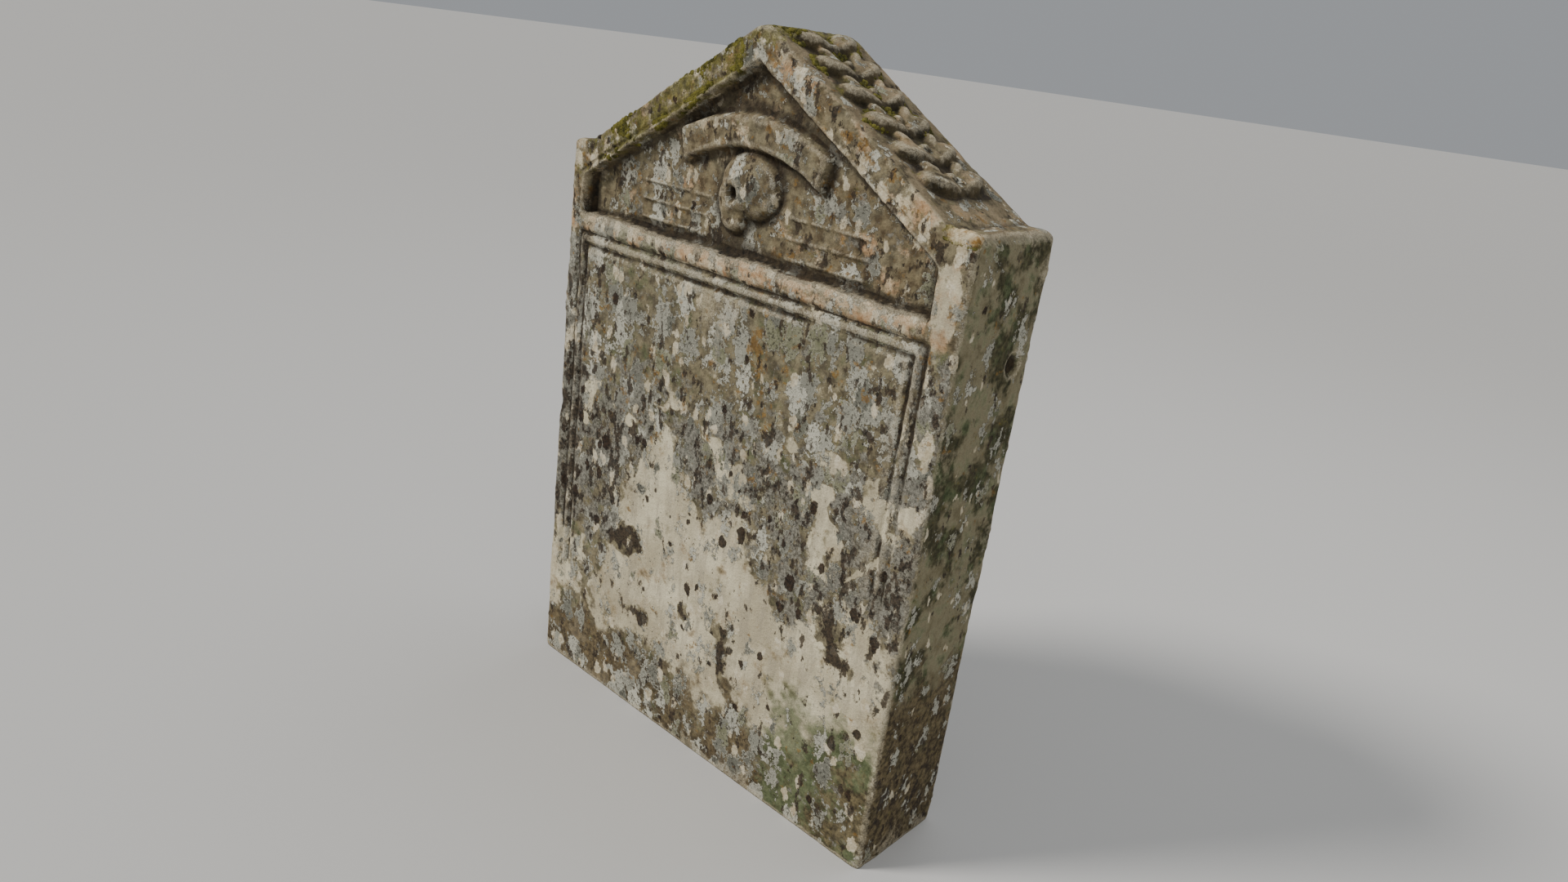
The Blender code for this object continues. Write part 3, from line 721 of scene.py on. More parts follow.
def growth(grid, points, out, bend, wide_bend):
    """Share of the surface that each growth, stain and painted shade covers, from 0 to 1, point by
    point.
    """
    across, depth, height = points.T
    wide = soft_noise(points, 0.15, 41)
    middle = rough_noise(points, 0.055, 42, 3)
    other = rough_noise(points, 0.075, 43, 3)
    ragged = ramp(-0.4, 0.3, rough_noise(points, 0.024, 44, 3))
    level = height + 0.030 * wide + 0.014 * middle
    front, back, slope, side = grid.face_shares().T
    low = ramp(grid.string_foot + 0.004, grid.string_foot - 0.004, height)
    course = ramp(grid.string_top + 0.002, grid.string_top - 0.002, height) * (1.0 - low)
    panel = front * low
    course *= front * ramp(grid.pediment_half + 0.004, grid.pediment_half - 0.004, across)
    pediment = front * (1.0 - low) - course
    rake = pediment * ramp(0.006, 0.0, grid.rake_inside(points))
    field = pediment - rake
    right = side * (across > 0)
    left = side - right
    apart = np.abs(across)

    # Bare stone low on the front, in islands and a strip further up.
    line = BARE_TOP + 0.020 * ramp(0.19, 0.24, across) - 0.100 * ramp(-0.135, -0.175, across)
    for place, reach, rise in BARE_RISES:
        line += rise * np.exp(-((across - place) / reach) ** 2)
    base = 0.076 + 0.056 * ramp(0.14, 0.24, across)
    base += 0.030 * np.exp(-((across - 0.055) / 0.020) ** 2)
    bare = ramp(0.020, -0.020, level - line) * ramp(base, base + 0.030, level)
    bare *= 1.0 - 0.45 * ramp(-0.13, -0.20, across) * ramp(-0.2, 0.3, other)
    island = ramp(0.25, 0.55, middle) * ramp(0.56, 0.42, height)
    strip = (ramp(0.262, 0.276, across) * ramp(-0.1, 0.4, middle) * ramp(0.05, 0.12, height)
             * ramp(0.38, 0.30, height))
    bare = np.maximum.reduce([bare, island * 0.9, strip * 0.85])
    grown_panel = panel * (1.0 - bare)
    edge = panel * ramp(0.248, 0.262, apart) * ramp(0.12, 0.30, height)
    areas = np.stack([panel, grown_panel, edge, course, pediment, rake, slope, right, left, back])
    covers = {name: np.array(shares) @ areas for name, shares in SHARES.items()}

    # Stains, films and soil, which rise from the ground.
    foot = ramp(base + 0.035, base - 0.025, level)
    near_front = ramp(-0.030, -0.060, depth) * ramp(0.66, 0.55, height)
    covers["warm"] += pediment * 0.3 * wide + course * 0.4 * other
    covers["lobes"] = (side + back) * np.clip(
        0.62 + 0.25 * wide - 0.22 * near_front * right - 0.55 * ramp(0.30, 0.14, level), 0.0, 1.0)
    covers["film"] += field * np.clip(0.80 + 0.3 * other, 0.0, 1.0)
    covers["algae"] += 1.15 * panel * ramp(0.10, 0.19, across) * ramp(0.22, 0.10, level)
    covers["soil"] = (foot * front * (0.92 + 0.4 * middle - 0.4 * ramp(0.10, 0.18, across))
                      + side * 0.9 * ramp(0.32, 0.18, level))

    # Lichens: thickest in a belt above the bare stone.
    lush = ramp(0.30, 0.42, level)
    belt = ramp(0.18, 0.26, level) * ramp(0.50, 0.40, level)
    covers["crust"] += (grown_panel * (0.12 * lush + 0.16 * middle)
                        + course * np.clip(0.22 + 0.5 * ramp(-0.08, -0.16, across), 0.0, 1.0)
                        + pediment * np.clip(0.34 + 0.3 * other, 0.0, 1.0))
    covers["warty"] += grown_panel * 0.44 * belt
    covers["cream"] += panel * 0.25 * ramp(0.255, 0.27, apart)
    gold = np.exp(-((across - GOLD_PLACE[0]) / GOLD_REACH) ** 2
                  - ((height - GOLD_PLACE[1]) / GOLD_REACH) ** 2)
    covers["gold"] += panel * gold * 0.34 + 0.11 * lush * grown_panel

    # Near-black growth, and cream spots that nothing dark grows over.
    covers["dark"] += 0.14 * belt * grown_panel + 0.20 * side * foot
    covers["blobs"] += panel * 0.75 * belt
    for mask in spots_on_front(points, DARK_BLOTCHES, 0.65, 1.35, 0.35 * middle):
        covers["dark"] = np.maximum(covers["dark"], front * mask * 0.72)
        covers["film"] = np.maximum(covers["film"], front * mask)
    clear = np.zeros(len(points))
    for mask in spots_on_front(points, CREAM_SPOTS, 0.75, 1.2, 0.30 * middle):
        clear = np.maximum(clear, front * mask)
    covers["cream"] = np.maximum(covers["cream"], clear * 0.6)
    for name in ("film", "crust", "dark", "warty"):
        covers[name] = covers[name] * (1.0 - 0.9 * clear)

    # Moss on the slopes' hollows, the left edge of the gable and its top.
    rake_left = rake * ramp(0.010, 0.030, -across)
    crown = ramp(0.045, 0.0, np.hypot(across * 0.8, height - HIGH.z)) * (front + slope)
    covers["moss"] += (slope * 0.55 * ramp(0.2, 0.9, bend) * ramp(0.77, 0.83, height)
                       + rake_left * (0.58 - 0.25 * ramp(-0.20, -0.26, across)) + 0.6 * crown)

    # Dirt with painted shade in the creases and on the string course's top ledge, painted shade on
    # the leaves' downhill faces, under the front's overhangs and in the wider hollows round the
    # carving, and clean stone where it is rubbed.
    downhill = out[:, 0] * np.sign(across) * math.cos(grid.angle) - out[:, 2] * math.sin(grid.angle)
    # Painted shade: darker on the leaves' faces that look downhill, and on the front's faces that
    # look down, under the ribbon, skull and string course.
    covers["damp"] = slope * ramp(0.0, 0.26, downhill) + front * 0.5 * ramp(-0.15, -0.6, out[:, 2])
    # Dirt and painted shade: a dark line on the string course's top ledge, and darkening in the tight
    # creases, less on bare stone.
    ledge = front * ramp(0.35, 0.7, out[:, 2]) * ramp(0.007, 0.003, np.abs(
        height - grid.string_top))
    crease = ramp(0.35, 1.3, bend) * (1.0 - 0.75 * bare) * (0.35 + 0.65 * ragged)
    covers["dirt"] = np.maximum(crease, ledge * (0.4 + 0.6 * ragged))
    # Grime and painted shade: darker in the wider hollows round the carving, less on bare stone, and
    # a faint darkening over the whole pediment floor.
    covers["grime"] = ramp(0.3, 2.6, wide_bend) * (1.0 - bare) + field * 0.16
    covers["worn"] = ramp(0.1, 1.0, -bend) * (1.0 - 0.6 * edge - 0.3 * slope - 0.45 * pediment)
    return {name: np.clip(cover, 0.0, 1.0) for name, cover in covers.items()}


def hollowness(grid, points, out, steps):
    """How far each point lies under its smoothed surroundings, in millimetres."""
    blurred = points
    for _step in range(steps):
        blurred = grid.neighbour_mean(blurred)
    return np.einsum("ij,ij->i", blurred - points, out) / MILLIMETRE


# Smoothing steps for a narrow and a wide look at what lies round a point.
NARROW_STEPS = 7
NARROW_SCALE = 1.2
WIDE_STEPS = 26


def block_mesh(carving, wear):
    """Weathered mesh of the block, with its covers as attributes."""
    grid = Grid(carving, wear.spacing)
    carved, from_edge = carve(grid)
    points, out, push, grounded = weather(grid, carved, from_edge, wear)
    bend = hollowness(grid, points, out, NARROW_STEPS) / NARROW_SCALE
    covers = growth(grid, points, out, bend, hollowness(grid, points, out, WIDE_STEPS))
    points = points + out * push[:, None]
    points[grounded, 2] = 0.0
    low, high = np.array(LOW), np.array(HIGH)
    points = np.clip(points, low + BOX_MARGIN, high - BOX_MARGIN)
    points[grounded, 2] = 0.0
    mesh = bpy.data.meshes.new("headstone_stone")
    mesh.from_pydata(points.tolist(), [], grid.quads.tolist())
    for name, values in covers.items():
        layer = mesh.attributes.new(name, "FLOAT", "POINT")
        layer.data.foreach_set("value", values.astype(np.float32))
    mesh.polygons.foreach_set("use_smooth", [True] * len(mesh.polygons))
    return mesh


def thinned(piece, budget):
    """Thin out the plain parts of a piece's mesh until it keeps the budget of triangles."""
    triangles = sum(len(face.vertices) - 2 for face in piece.data.polygons)
    modifier = piece.modifiers.new("thin out", "DECIMATE")
    modifier.ratio = min(1.0, budget / triangles)
    bpy.context.view_layer.update()
    graph = bpy.context.evaluated_depsgraph_get()
    mesh = bpy.data.meshes.new_from_object(piece.evaluated_get(graph),
                                           preserve_all_data_layers=True, depsgraph=graph)
    piece.modifiers.remove(modifier)
    old = piece.data
    piece.data = mesh
    bpy.data.meshes.remove(old)
    mesh.name = piece.name
    return piece


def add_node(tree, kind, fields=None, inputs=None):
    """Add a node, set its fields, and give its inputs values or link them to sockets."""
    node = tree.nodes.new(kind)
    for name, value in (fields or {}).items():
        setattr(node, name, value)
    for name, value in (inputs or {}).items():
        if isinstance(value, bpy.types.NodeSocket):
            tree.links.new(value, node.inputs[name])
        else:
            node.inputs[name].default_value = value
    return node


def mottle(tree, millimetres, detail, roughness=0.6, shift=0.0, stretch=(1.0, 1.0, 1.0)):
    """Socket with lumps of a real size, its middle at 0.5."""
    place = add_node(tree, "ShaderNodeTexCoord").outputs["Object"]
    place = add_node(tree, "ShaderNodeMapping", None, {
        "Vector": place, "Location": (shift, shift * 1.7, shift * 0.6), "Scale": stretch})
    return add_node(tree, "ShaderNodeTexNoise", None, {
        "Vector": place.outputs["Vector"], "Scale": 1.0 / (millimetres * MILLIMETRE),
        "Detail": detail, "Roughness": roughness}).outputs["Fac"]


def weighted_sum(tree, start, *parts):
    """Socket with a number plus sockets, each times its own weight."""
    total = start
    for socket, weight in parts:
        total = add_node(tree, "ShaderNodeMath", {"operation": "MULTIPLY_ADD"}, {
            0: socket, 1: weight, 2: total}).outputs[0]
    return total


def thalli(tree, millimetres, shift, upright, ragged):
    """Distance from the middle of each round growth, and three numbers drawn for each.

    They stand taller than wide where upright is below 1, and ragged bends their outlines.
    """
    place = add_node(tree, "ShaderNodeTexCoord").outputs["Object"]
    place = add_node(tree, "ShaderNodeMapping", None, {
        "Vector": place, "Location": (shift, shift * 0.7, shift * 1.3),
        "Scale": (1.0, 1.0, upright)})
    lumps = add_node(tree, "ShaderNodeTexNoise", None, {
        "Vector": place.outputs["Vector"], "Scale": 2.2 / (millimetres * MILLIMETRE),
        "Detail": 4.0, "Roughness": 0.65})
    reach = ragged * millimetres * MILLIMETRE
    bent = add_node(tree, "ShaderNodeVectorMath", {"operation": "MULTIPLY_ADD"}, {
        0: lumps.outputs["Color"], 1: (reach * 2.4,) * 3, 2: place.outputs["Vector"]})
    cells = add_node(tree, "ShaderNodeTexVoronoi", {"feature": "F1"}, {
        "Vector": bent.outputs["Vector"], "Scale": 1.0 / (millimetres * MILLIMETRE)})
    drawn = add_node(tree, "ShaderNodeSeparateColor", None, {"Color": cells.outputs["Color"]})
    return cells.outputs["Distance"], drawn.outputs


def grown(tree, cover, pattern, strength, edge, middle=0.5, gain=1.0):
    """Mask of a growth: whole where its cover is 1, gone where it is 0, broken in between.

    The pattern has its middle at 0.5, and strength says how far it breaks up the cover. A higher
    middle shrinks every patch, and gain scales the cover.
    """
    total = weighted_sum(tree, -0.5 * strength, (pattern, strength), (cover, gain))
    return add_node(tree, "ShaderNodeMapRange", {"interpolation_type": "SMOOTHSTEP"}, {
        "Value": total, "From Min": middle - edge, "From Max": middle + edge}).outputs[0]


def lay_over(tree, below, above, mask, opacity=1.0):
    """Colour below with the colour above laid over it where the mask says."""
    part = add_node(tree, "ShaderNodeMath", {"operation": "MULTIPLY"}, {0: mask, 1: opacity})
    mix = add_node(tree, "ShaderNodeMix", {"data_type": "RGBA"}, {
        "Factor": part.outputs[0], 6: below, 7: above})
    return mix.outputs[2]


def two_tone(tree, tones, pattern, low=0.38, high=0.62):
    """Colour that runs from the darker to the paler tone as the pattern rises."""
    darker, paler = (colour(hex_code) for hex_code in tones.split())
    part = add_node(tree, "ShaderNodeMapRange", None, {
        "Value": pattern, "From Min": low, "From Max": high})
    mix = add_node(tree, "ShaderNodeMix", {"data_type": "RGBA"}, {
        "Factor": part.outputs[0], 6: darker, 7: paler})
    return mix.outputs[2]


# Lumps of the stone and its growths: size in millimetres, detail, roughness, shift, and how far
# they are drawn out down the stone, where 1 is not at all. Real grit is under 0.5 mm and is
# drawn coarser here, so that it shows.
LUMPS = {
    "grit": (1.6, 2.0, 0.60, 0.0, 1.0),
    "small": (7.0, 5.0, 0.62, 1.0, 1.0),
    "patch": (24.0, 6.0, 0.62, 2.0, 1.0),
    "broad": (70.0, 5.0, 0.60, 3.0, 1.0),
    "streaks": (9.0, 4.0, 0.60, 4.0, 0.16),
    "lobes": (46.0, 6.0, 0.60, 5.0, 1.0),
    "film": (30.0, 6.0, 0.68, 6.0, 1.0),
    "smears": (12.0, 4.0, 0.60, 7.0, 1.0),
    "splashes": (26.0, 6.0, 0.66, 8.0, 1.0),
    "warts": (3.4, 3.0, 0.70, 9.0, 1.0),
    "rosettes": (17.0, 5.0, 0.66, 10.0, 1.0),
    "tufts": (14.0, 6.0, 0.70, 11.0, 1.0),
    "pores": (15.0, 6.0, 0.66, 12.0, 0.6),
    "scabs": (21.0, 6.0, 0.68, 13.0, 1.0),
}

# Round growths: size in millimetres, shift, how upright they are, and how ragged.
THALLI = {
    "crust": (27.0, 0.0, 0.62, 0.50),
    "cream": (24.0, 3.0, 0.60, 0.30),
    "blobs": (26.0, 5.0, 0.72, 0.22),
}

# Layers over the bare stone, from the lowest up: name of its colours and cover, the lumps that
# run between its colours, its opacity, and the lumps that break up its cover with how far they
# do and how soft the edge is. The mask of a layer that has none of these is made on its own.
LAYERS = (
    ("streaks", "small", 0.50, None),
    ("taupe", "patch", 0.95, None),
    ("warm", "small", 0.85, ("patch", 2.6, 0.35)),
    ("shady", "small", 1.00, None),
    ("lobes", "patch", 0.95, ("lobes", 3.0, 0.14)),
    ("film", "smears", 0.90, ("film", 2.6, 0.14)),
    ("algae", "small", 0.80, ("patch", 2.4, 0.30)),
    ("soil", "small", 0.85, ("splashes", 2.2, 0.20)),
    ("fringe", "small", 0.50, None),
    ("rim", "small", 0.92, None),
    ("crust", "shades", 0.95, None),
    ("olive", "small", 0.90, None),
    ("gaps", "small", 0.75, None),
    ("warty", "warts", 0.85, ("scabs", 2.8, 0.10)),
    ("cream", "small", 0.90, None),
    ("gold", "small", 0.75, ("rosettes", 3.0, 0.12)),
    ("moss", "small", 0.85, ("tufts", 2.6, 0.16)),
    ("dark", "warts", 0.92, ("pores", 2.9, 0.07)),
    ("blobs", "warts", 0.95, None),
    # grime and painted shade in the wider hollows round the carving, and a faint darkening over the
    # pediment floor
    ("grime", "small", 0.72, ("patch", 1.6, 0.45)),
    # dirt and painted shade in the tight creases and on the string course's top ledge
    ("dirt", "small", 0.90, ("small", 1.5, 0.30)),
    # painted shade on the leaves' downhill faces and under the front's overhangs
    ("damp", "patch", 0.90, ("small", 1.2, 0.35)),
    ("worn", "grit", 0.45, ("small", 1.6, 0.35)),
)
COVERS = (*SHARES, "lobes", "soil", "dirt", "damp", "grime", "worn")
# Where the lumps' values reach the darker and the paler tone, if not at the usual values.
TONE_RANGES = {"crust": (0.0, 1.0), "warty": (0.35, 0.65)}
STREAK_COVER = 0.36
CRUST_BREAKS = 2.2
GRIT_SHADE = (0.85, 1.13)
STONE_ROUGHNESS = 0.92
STONE_SHEEN = 0.25
STONE_BUMP = 1.4 * MILLIMETRE


def lichened_sandstone(colours):
    """Hand-dressed sandstone under old lichen: dull, grainy and mottled, with shade painted into its
    creases, hollows and undersides, and no gloss at all.
    """
    material = bpy.data.materials.new("weathered sandstone with lichen")
    material.use_nodes = True
    tree = material.node_tree
    shader = tree.nodes["Principled BSDF"]
    lumps = {name: mottle(tree, millimetres, detail, roughness, shift, (1.0, 1.0, drawn_out))
             for name, (millimetres, detail, roughness, shift, drawn_out) in LUMPS.items()}
    covers = {name: add_node(tree, "ShaderNodeAttribute", {"attribute_name": name}).outputs["Fac"]
              for name in COVERS}

    # Crust of lichen: lobed pale growths with a pale rim and a dark line round them. Each has its
    # own grey, some turn olive, and dark gaps part their warts.
    distance, drawn = thalli(tree, *THALLI["crust"])
    lumps["shades"] = drawn[0]
    shape = weighted_sum(tree, 0.36, (lumps["small"], 1.2), (distance, -1.0))
    rim = grown(tree, covers["crust"], shape, CRUST_BREAKS, 0.07)
    crust = grown(tree, covers["crust"], shape, CRUST_BREAKS, 0.10, middle=0.62)
    turned = grown(tree, 0.0, drawn[2], 1.3, 0.02)
    olive = add_node(tree, "ShaderNodeMath", {"operation": "MULTIPLY"}, {0: crust, 1: turned})
    between = grown(tree, 0.25, lumps["warts"], 3.2, 0.12)
    gaps = add_node(tree, "ShaderNodeMath", {"operation": "MULTIPLY"}, {0: rim, 1: between})

    # Cream lichens are upright ovals. The near-black bodies are small, round and of mixed size.
    distance, _drawn = thalli(tree, *THALLI["cream"])
    ovals = weighted_sum(tree, 0.86, (distance, -1.0))
    distance, drawn = thalli(tree, *THALLI["blobs"])
    bodies = weighted_sum(tree, 0.62, (distance, -1.5), (drawn[0], 0.42))
    blobs = grown(tree, covers["blobs"], bodies, 1.6, 0.05, gain=0.36)
    masks = {
        "streaks": grown(tree, STREAK_COVER, lumps["streaks"], 3.0, 0.3),
        "taupe": covers["taupe"],
        "shady": covers["shady"],
        "fringe": grown(tree, covers["crust"], shape, CRUST_BREAKS, 0.10, middle=0.43),
        "rim": rim,
        "crust": crust,
        "olive": olive.outputs[0],
        "gaps": gaps.outputs[0],
        "cream": grown(tree, covers["cream"], ovals, 2.2, 0.06, gain=0.62),
        "blobs": blobs,
    }

    # What the eye sees: warm cream stone showing through film, crust, black growth and painted shade,
    # each with its own tone, size and edge.
    layers = two_tone(tree, colours.stone, lumps["broad"])
    for name, running, opacity, broken in LAYERS:
        if broken is not None:
            breaking, strength, edge = broken
            masks[name] = grown(tree, covers[name], lumps[breaking], strength, edge)
        tone = two_tone(tree, getattr(colours, name), lumps[running],
                        *TONE_RANGES.get(name, (0.38, 0.62)))
        layers = lay_over(tree, layers, tone, masks[name], opacity)

    # Grit of the sandstone: grains a little paler and darker than their surroundings.
    grain = add_node(tree, "ShaderNodeMapRange", None, {
        "Value": lumps["grit"], "From Min": 0.3, "From Max": 0.7,
        "To Min": GRIT_SHADE[0], "To Max": GRIT_SHADE[1]})
    grained = add_node(tree, "ShaderNodeVectorMath", {"operation": "SCALE"}, {
        0: layers, "Scale": grain.outputs[0]})
    tree.links.new(grained.outputs[0], shader.inputs["Base Color"])
    shader.inputs["Roughness"].default_value = STONE_ROUGHNESS
    shader.inputs["Specular IOR Level"].default_value = STONE_SHEEN
    rise = weighted_sum(tree, 0.0, (lumps["warts"], 0.9), (rim, 0.8), (lumps["grit"], 0.35),
                        (lumps["small"], 0.9), (blobs, 0.9))
    bump = add_node(tree, "ShaderNodeBump", None, {
        "Height": rise, "Distance": STONE_BUMP, "Strength": 0.9})
    tree.links.new(bump.outputs["Normal"], shader.inputs["Normal"])
    return material


# Golden growth sits on the front corner of the right shoulder. Radii are in millimetres.
GOLDEN_CORNER = (HIGH.x - 0.016, FRONT, 0.729)
GOLDEN_REACH = (0.022, 0.012, 0.008)
CUSHION_RADIUS = 1.6
CUSHION_GROWTH = 2.8
GOLDEN_GROWTH = 1.8
CUSHION_FLATNESS = 0.62


def cushion_mesh(stone, cushions, seed):
    """Low lumpy cushions standing where the moss cover of the stone is thick."""
    count = len(stone.vertices)
    places = np.empty(count * 3)
    outs = np.empty(count * 3)
    cover = np.empty(count)
    stone.vertices.foreach_get("co", places)
    stone.vertices.foreach_get("normal", outs)
    stone.attributes["moss"].data.foreach_get("value", cover)
    places, outs = places.reshape(-1, 3), outs.reshape(-1, 3)
    corner = np.linalg.norm((places - GOLDEN_CORNER) / GOLDEN_REACH, axis=1)
    golden = ramp(1.2, 0.6, corner)
    room = np.minimum(places - np.array(LOW), np.array(HIGH) - places).min(axis=1)
    weight = ramp(0.42, 0.75, cover) * ramp(-0.1, 0.4, soft_noise(places, 0.03, seed)) ** 2
    weight = np.maximum(weight * ramp(0.3 * MILLIMETRE, 2.0 * MILLIMETRE, room), golden * 0.9)
    random = np.random.RandomState(seed)
    chosen = random.choice(count, cushions, replace=False, p=weight / weight.sum())

    shape = bmesh.new()
    bmesh.ops.create_icosphere(shape, subdivisions=2, radius=1.0)
    ball = np.array([vert.co for vert in shape.verts])
    faces = np.array([[vert.index for vert in face.verts] for face in shape.faces])
    shape.free()
    points, corners, golds = [], [], []
    for index, spot in enumerate(chosen):
        radius = (CUSHION_RADIUS + CUSHION_GROWTH * random.random_sample() ** 2
                  + GOLDEN_GROWTH * golden[spot]) * MILLIMETRE
        out = outs[spot]
        level = np.cross(out, (0.31, 0.83, 0.46))
        level /= np.linalg.norm(level)
        beside = np.cross(out, level)
        lump = ball * (1.0 + 0.30 * soft_noise(ball + index * 7.3, 0.8, seed + 1))[:, None]
        lump = lump * radius * (1.0, 0.8 + 0.4 * random.random_sample(), CUSHION_FLATNESS)
        lump = places[spot] + lump @ np.stack([level, beside, out])
        over = np.maximum(lump.max(axis=0) - np.array(HIGH) + BOX_MARGIN, 0.0)
        under = np.maximum(np.array(LOW) + BOX_MARGIN - lump.min(axis=0), 0.0)
        points.append(lump - over + under)
        corners.append(faces + index * len(ball))
        golds.append(np.full(len(ball), golden[spot]))
    points = np.concatenate(points)
    mesh = bpy.data.meshes.new("moss_cushions")
    mesh.from_pydata(points.tolist(), [], np.concatenate(corners).tolist())
    layer = mesh.attributes.new("golden", "FLOAT", "POINT")
    layer.data.foreach_set("value", np.concatenate(golds).astype(np.float32))
    mesh.polygons.foreach_set("use_smooth", [True] * len(mesh.polygons))
    return mesh


MOSS_ROUGHNESS = 0.95
MOSS_SHEEN = 0.2
SHOOT_BUMP = 0.8 * MILLIMETRE


def moss_finish(colours):
    """Living moss in tight cushions of short upright shoots, drying to gold at the edges."""
    material = bpy.data.materials.new("moss in tight cushions")
    material.use_nodes = True
    tree = material.node_tree
    shader = tree.nodes["Principled BSDF"]
    shoots = mottle(tree, 0.9, 2.0)
    clumps = mottle(tree, 9.0, 3.0, 0.6, 2.0)
    # The cushions are dark between the shoots and pale at their tips, so they look soft.
    green = two_tone(tree, colours.cushions, clumps)
    tips = grown(tree, 0.2, shoots, 2.4, 0.2)
    green = lay_over(tree, green, two_tone(tree, colours.shoots, clumps), tips, 0.5)
    golden = add_node(tree, "ShaderNodeAttribute", {"attribute_name": "golden"})
    lichen = two_tone(tree, colours.golden, clumps)
    layers = lay_over(tree, green, lichen, golden.outputs["Fac"])
    tree.links.new(layers, shader.inputs["Base Color"])
    shader.inputs["Roughness"].default_value = MOSS_ROUGHNESS
    shader.inputs["Specular IOR Level"].default_value = MOSS_SHEEN
    bump = add_node(tree, "ShaderNodeBump", None, {
        "Height": shoots, "Distance": SHOOT_BUMP, "Strength": 1.0})
    tree.links.new(bump.outputs["Normal"], shader.inputs["Normal"])
    return material


def link_piece(name, mesh, material):
    """Put a mesh in the scene as a named piece with its material."""
    piece = bpy.data.objects.new(name, mesh)
    bpy.context.scene.collection.objects.link(piece)
    piece.data.materials.append(material)
    return piece


class HEADSTONE_OT_block(bpy.types.Operator):
    """Carve and weather the block"""
    bl_idname = "headstone.block"
    bl_label = "Carve the block"

    def execute(self, context):
        scene = context.scene
        mesh = block_mesh(scene.headstone_carving, scene.headstone_wear)
        piece = link_piece("carved_stone", mesh,
                           lichened_sandstone(scene.headstone_colours))
        thinned(piece, scene.headstone_wear.triangle_budget)
        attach(piece, "root")
        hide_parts("headstone")
        return {"FINISHED"}


class HEADSTONE_OT_moss(bpy.types.Operator):
    """Grow moss cushions on the carved block"""
    bl_idname = "headstone.moss"
    bl_label = "Grow the moss"

    def execute(self, context):
        stone = bpy.data.objects.get("carved_stone")
        if stone is None:
            raise RuntimeError("Carve the block before growing moss on it")
        scene = context.scene
        wear = scene.headstone_wear
        mesh = cushion_mesh(stone.data, wear.cushions, wear.seed)
        piece = link_piece("moss_cushions", mesh, moss_finish(scene.headstone_colours))
        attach(piece, "root")
        return {"FINISHED"}


# The stage: floor, sun, and the two soft lamps with their width.
SENSOR_WIDTH = 36.0
FLOOR_HALF = 60.0
FLOOR_GAP = 0.2 * MILLIMETRE
SUN_COLOUR = (1.0, 0.98, 0.95)
SUN_PLACE = (-2.0, -2.3, 2.9)
SKY_COLOUR = (0.95, 0.97, 1.0)
FILL_PLACE, FILL_SIDE = (2.8, -1.6, 1.6), 2.2
TOP_PLACE, TOP_SIDE = (0.3, 1.2, 3.0), 1.8
AIR_HEX = "dfe3e8"


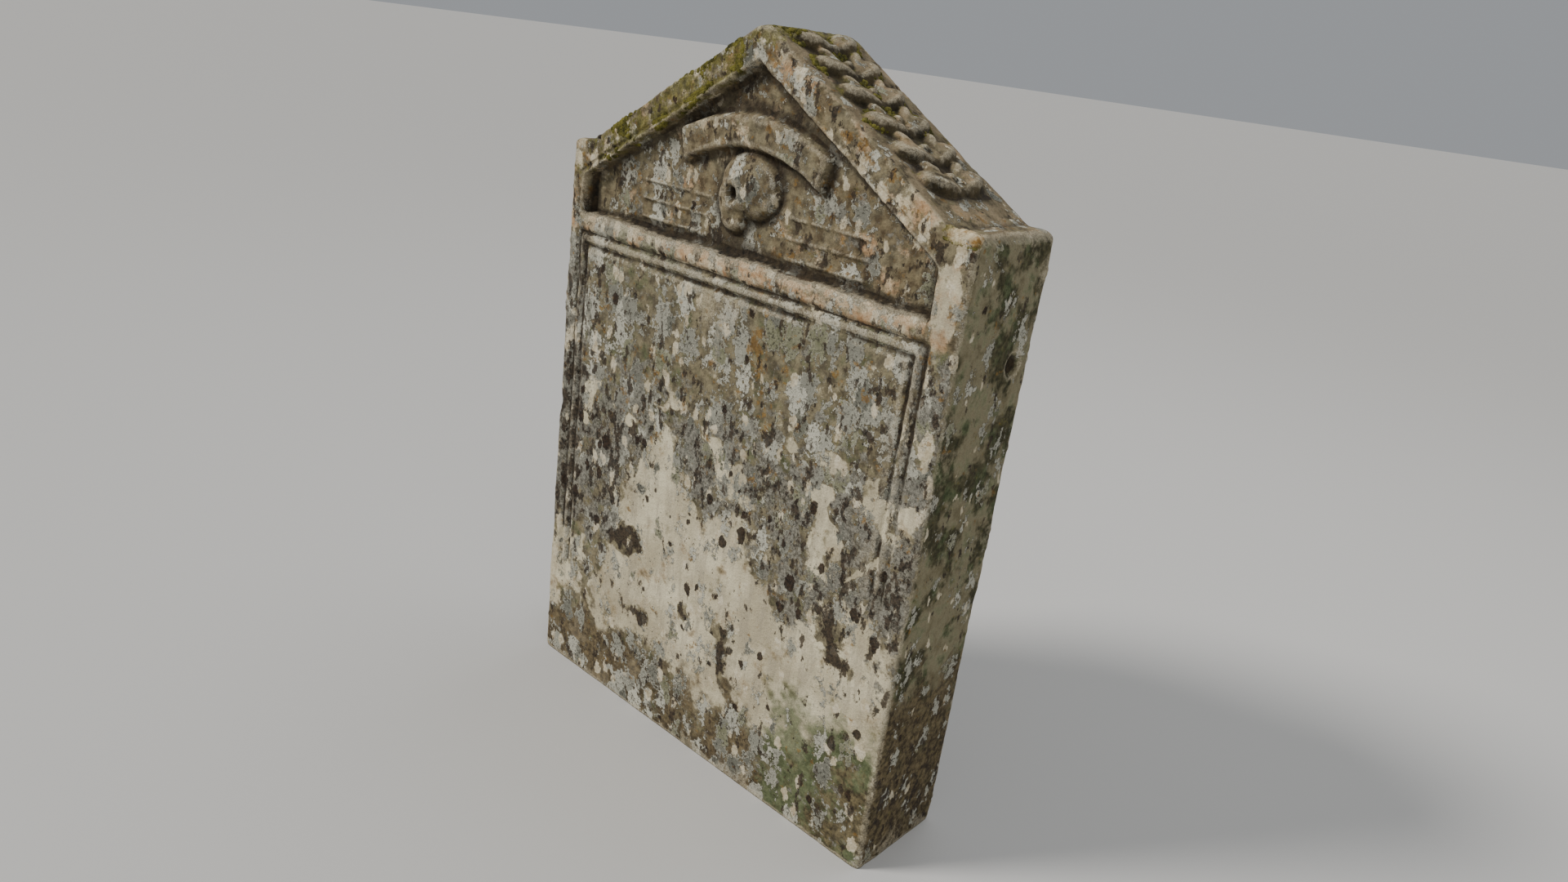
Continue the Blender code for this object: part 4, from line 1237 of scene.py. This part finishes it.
class HEADSTONE_OT_stage(bpy.types.Operator):
    """Set the camera, the pale floor and the soft studio light"""
    bl_idname = "headstone.stage"
    bl_label = "Set the stage"

    def execute(self, context):
        scene = context.scene
        stage = scene.headstone_stage
        camera_data = bpy.data.cameras.new("camera")
        camera_data.lens = stage.focal
        camera_data.sensor_width = SENSOR_WIDTH
        camera = bpy.data.objects.new("camera", camera_data)
        scene.collection.objects.link(camera)
        camera.location = stage.stand
        look = (Vector(stage.aim) - Vector(stage.stand)).to_track_quat("-Z", "Y")
        lean = Matrix.Rotation(-stage.roll, 4, "Z")
        camera.matrix_world = Matrix.Translation(stage.stand) @ look.to_matrix().to_4x4() @ lean
        scene.camera = camera

        floor_mesh = bpy.data.meshes.new("floor")
        corners = [(across * FLOOR_HALF, deep * FLOOR_HALF, 0)
                   for across, deep in ((-1, -1), (1, -1), (1, 1), (-1, 1))]
        floor_mesh.from_pydata(corners, [], [(0, 1, 2, 3)])
        floor = link_piece("floor", floor_mesh, floor_finish(scene.headstone_colours.floor))
        floor.location.z = LOW.z - FLOOR_GAP

        sun_data = bpy.data.lights.new("key light", "SUN")
        sun_data.energy = stage.key_strength
        sun_data.angle = stage.key_spread
        sun_data.color = SUN_COLOUR
        self.hang(sun_data, SUN_PLACE)
        for name, power, place, side in (("fill light", stage.fill_power, FILL_PLACE, FILL_SIDE),
                                         ("top light", stage.top_power, TOP_PLACE, TOP_SIDE)):
            light_data = bpy.data.lights.new(name, "AREA")
            light_data.energy = power
            light_data.size = side
            light_data.color = SKY_COLOUR
            self.hang(light_data, place)

        world = bpy.data.worlds.new("studio air")
        world.use_nodes = True
        background = world.node_tree.nodes["Background"]
        background.inputs["Color"].default_value = colour(AIR_HEX)
        background.inputs["Strength"].default_value = stage.air_strength
        scene.world = world
        return {"FINISHED"}

    def hang(self, light_data, place):
        """Hang a light at its place, turned towards the middle of the stone."""
        light = bpy.data.objects.new(light_data.name, light_data)
        light.location = place
        aim = Vector((0.0, 0.0, HIGH.z / 2)) - Vector(place)
        light.rotation_euler = aim.to_track_quat("-Z", "Y").to_euler()
        bpy.context.scene.collection.objects.link(light)


def floor_finish(tones):
    """Matt painted studio floor, even and without a gleam, so that only the shadow shows on it."""
    material = bpy.data.materials.new("matt painted floor")
    material.use_nodes = True
    shader = material.node_tree.nodes["Principled BSDF"]
    shader.inputs["Base Color"].default_value = colour(tones.split()[0])
    shader.inputs["Roughness"].default_value = 0.85
    return material


class HEADSTONE_PT_panel(bpy.types.Panel):
    """Sizes, wear and stage of the headstone"""
    bl_idname = "HEADSTONE_PT_panel"
    bl_label = "Headstone"
    bl_space_type = "VIEW_3D"
    bl_region_type = "UI"
    bl_category = "Headstone"

    def draw(self, context):
        scene = context.scene
        for name in GROUPS:
            group = getattr(scene, name)
            box = self.layout.box()
            for setting in group.__annotations__:
                box.prop(group, setting)
        for operator in OPERATORS:
            self.layout.operator(operator.bl_idname)


GROUPS = {
    "headstone_carving": HeadstoneCarving,
    "headstone_wear": HeadstoneWear,
    "headstone_colours": HeadstoneColours,
    "headstone_stage": HeadstoneStage,
}
OPERATORS = (HEADSTONE_OT_stage, HEADSTONE_OT_block, HEADSTONE_OT_moss)


def register():
    """Register the classes and attach the settings to the scene."""
    for group in (*GROUPS.values(), *OPERATORS, HEADSTONE_PT_panel):
        bpy.utils.register_class(group)
    for name, group in GROUPS.items():
        setattr(bpy.types.Scene, name, PointerProperty(type=group))


def unregister():
    """Undo what register did."""
    for name in GROUPS:
        delattr(bpy.types.Scene, name)
    for group in (HEADSTONE_PT_panel, *reversed(OPERATORS), *GROUPS.values()):
        bpy.utils.unregister_class(group)


def main():
    """Make the headstone and its stage."""
    register()
    bpy.ops.headstone.stage()
    bpy.ops.headstone.block()
    bpy.ops.headstone.moss()


if __name__ == "__main__":
    main()
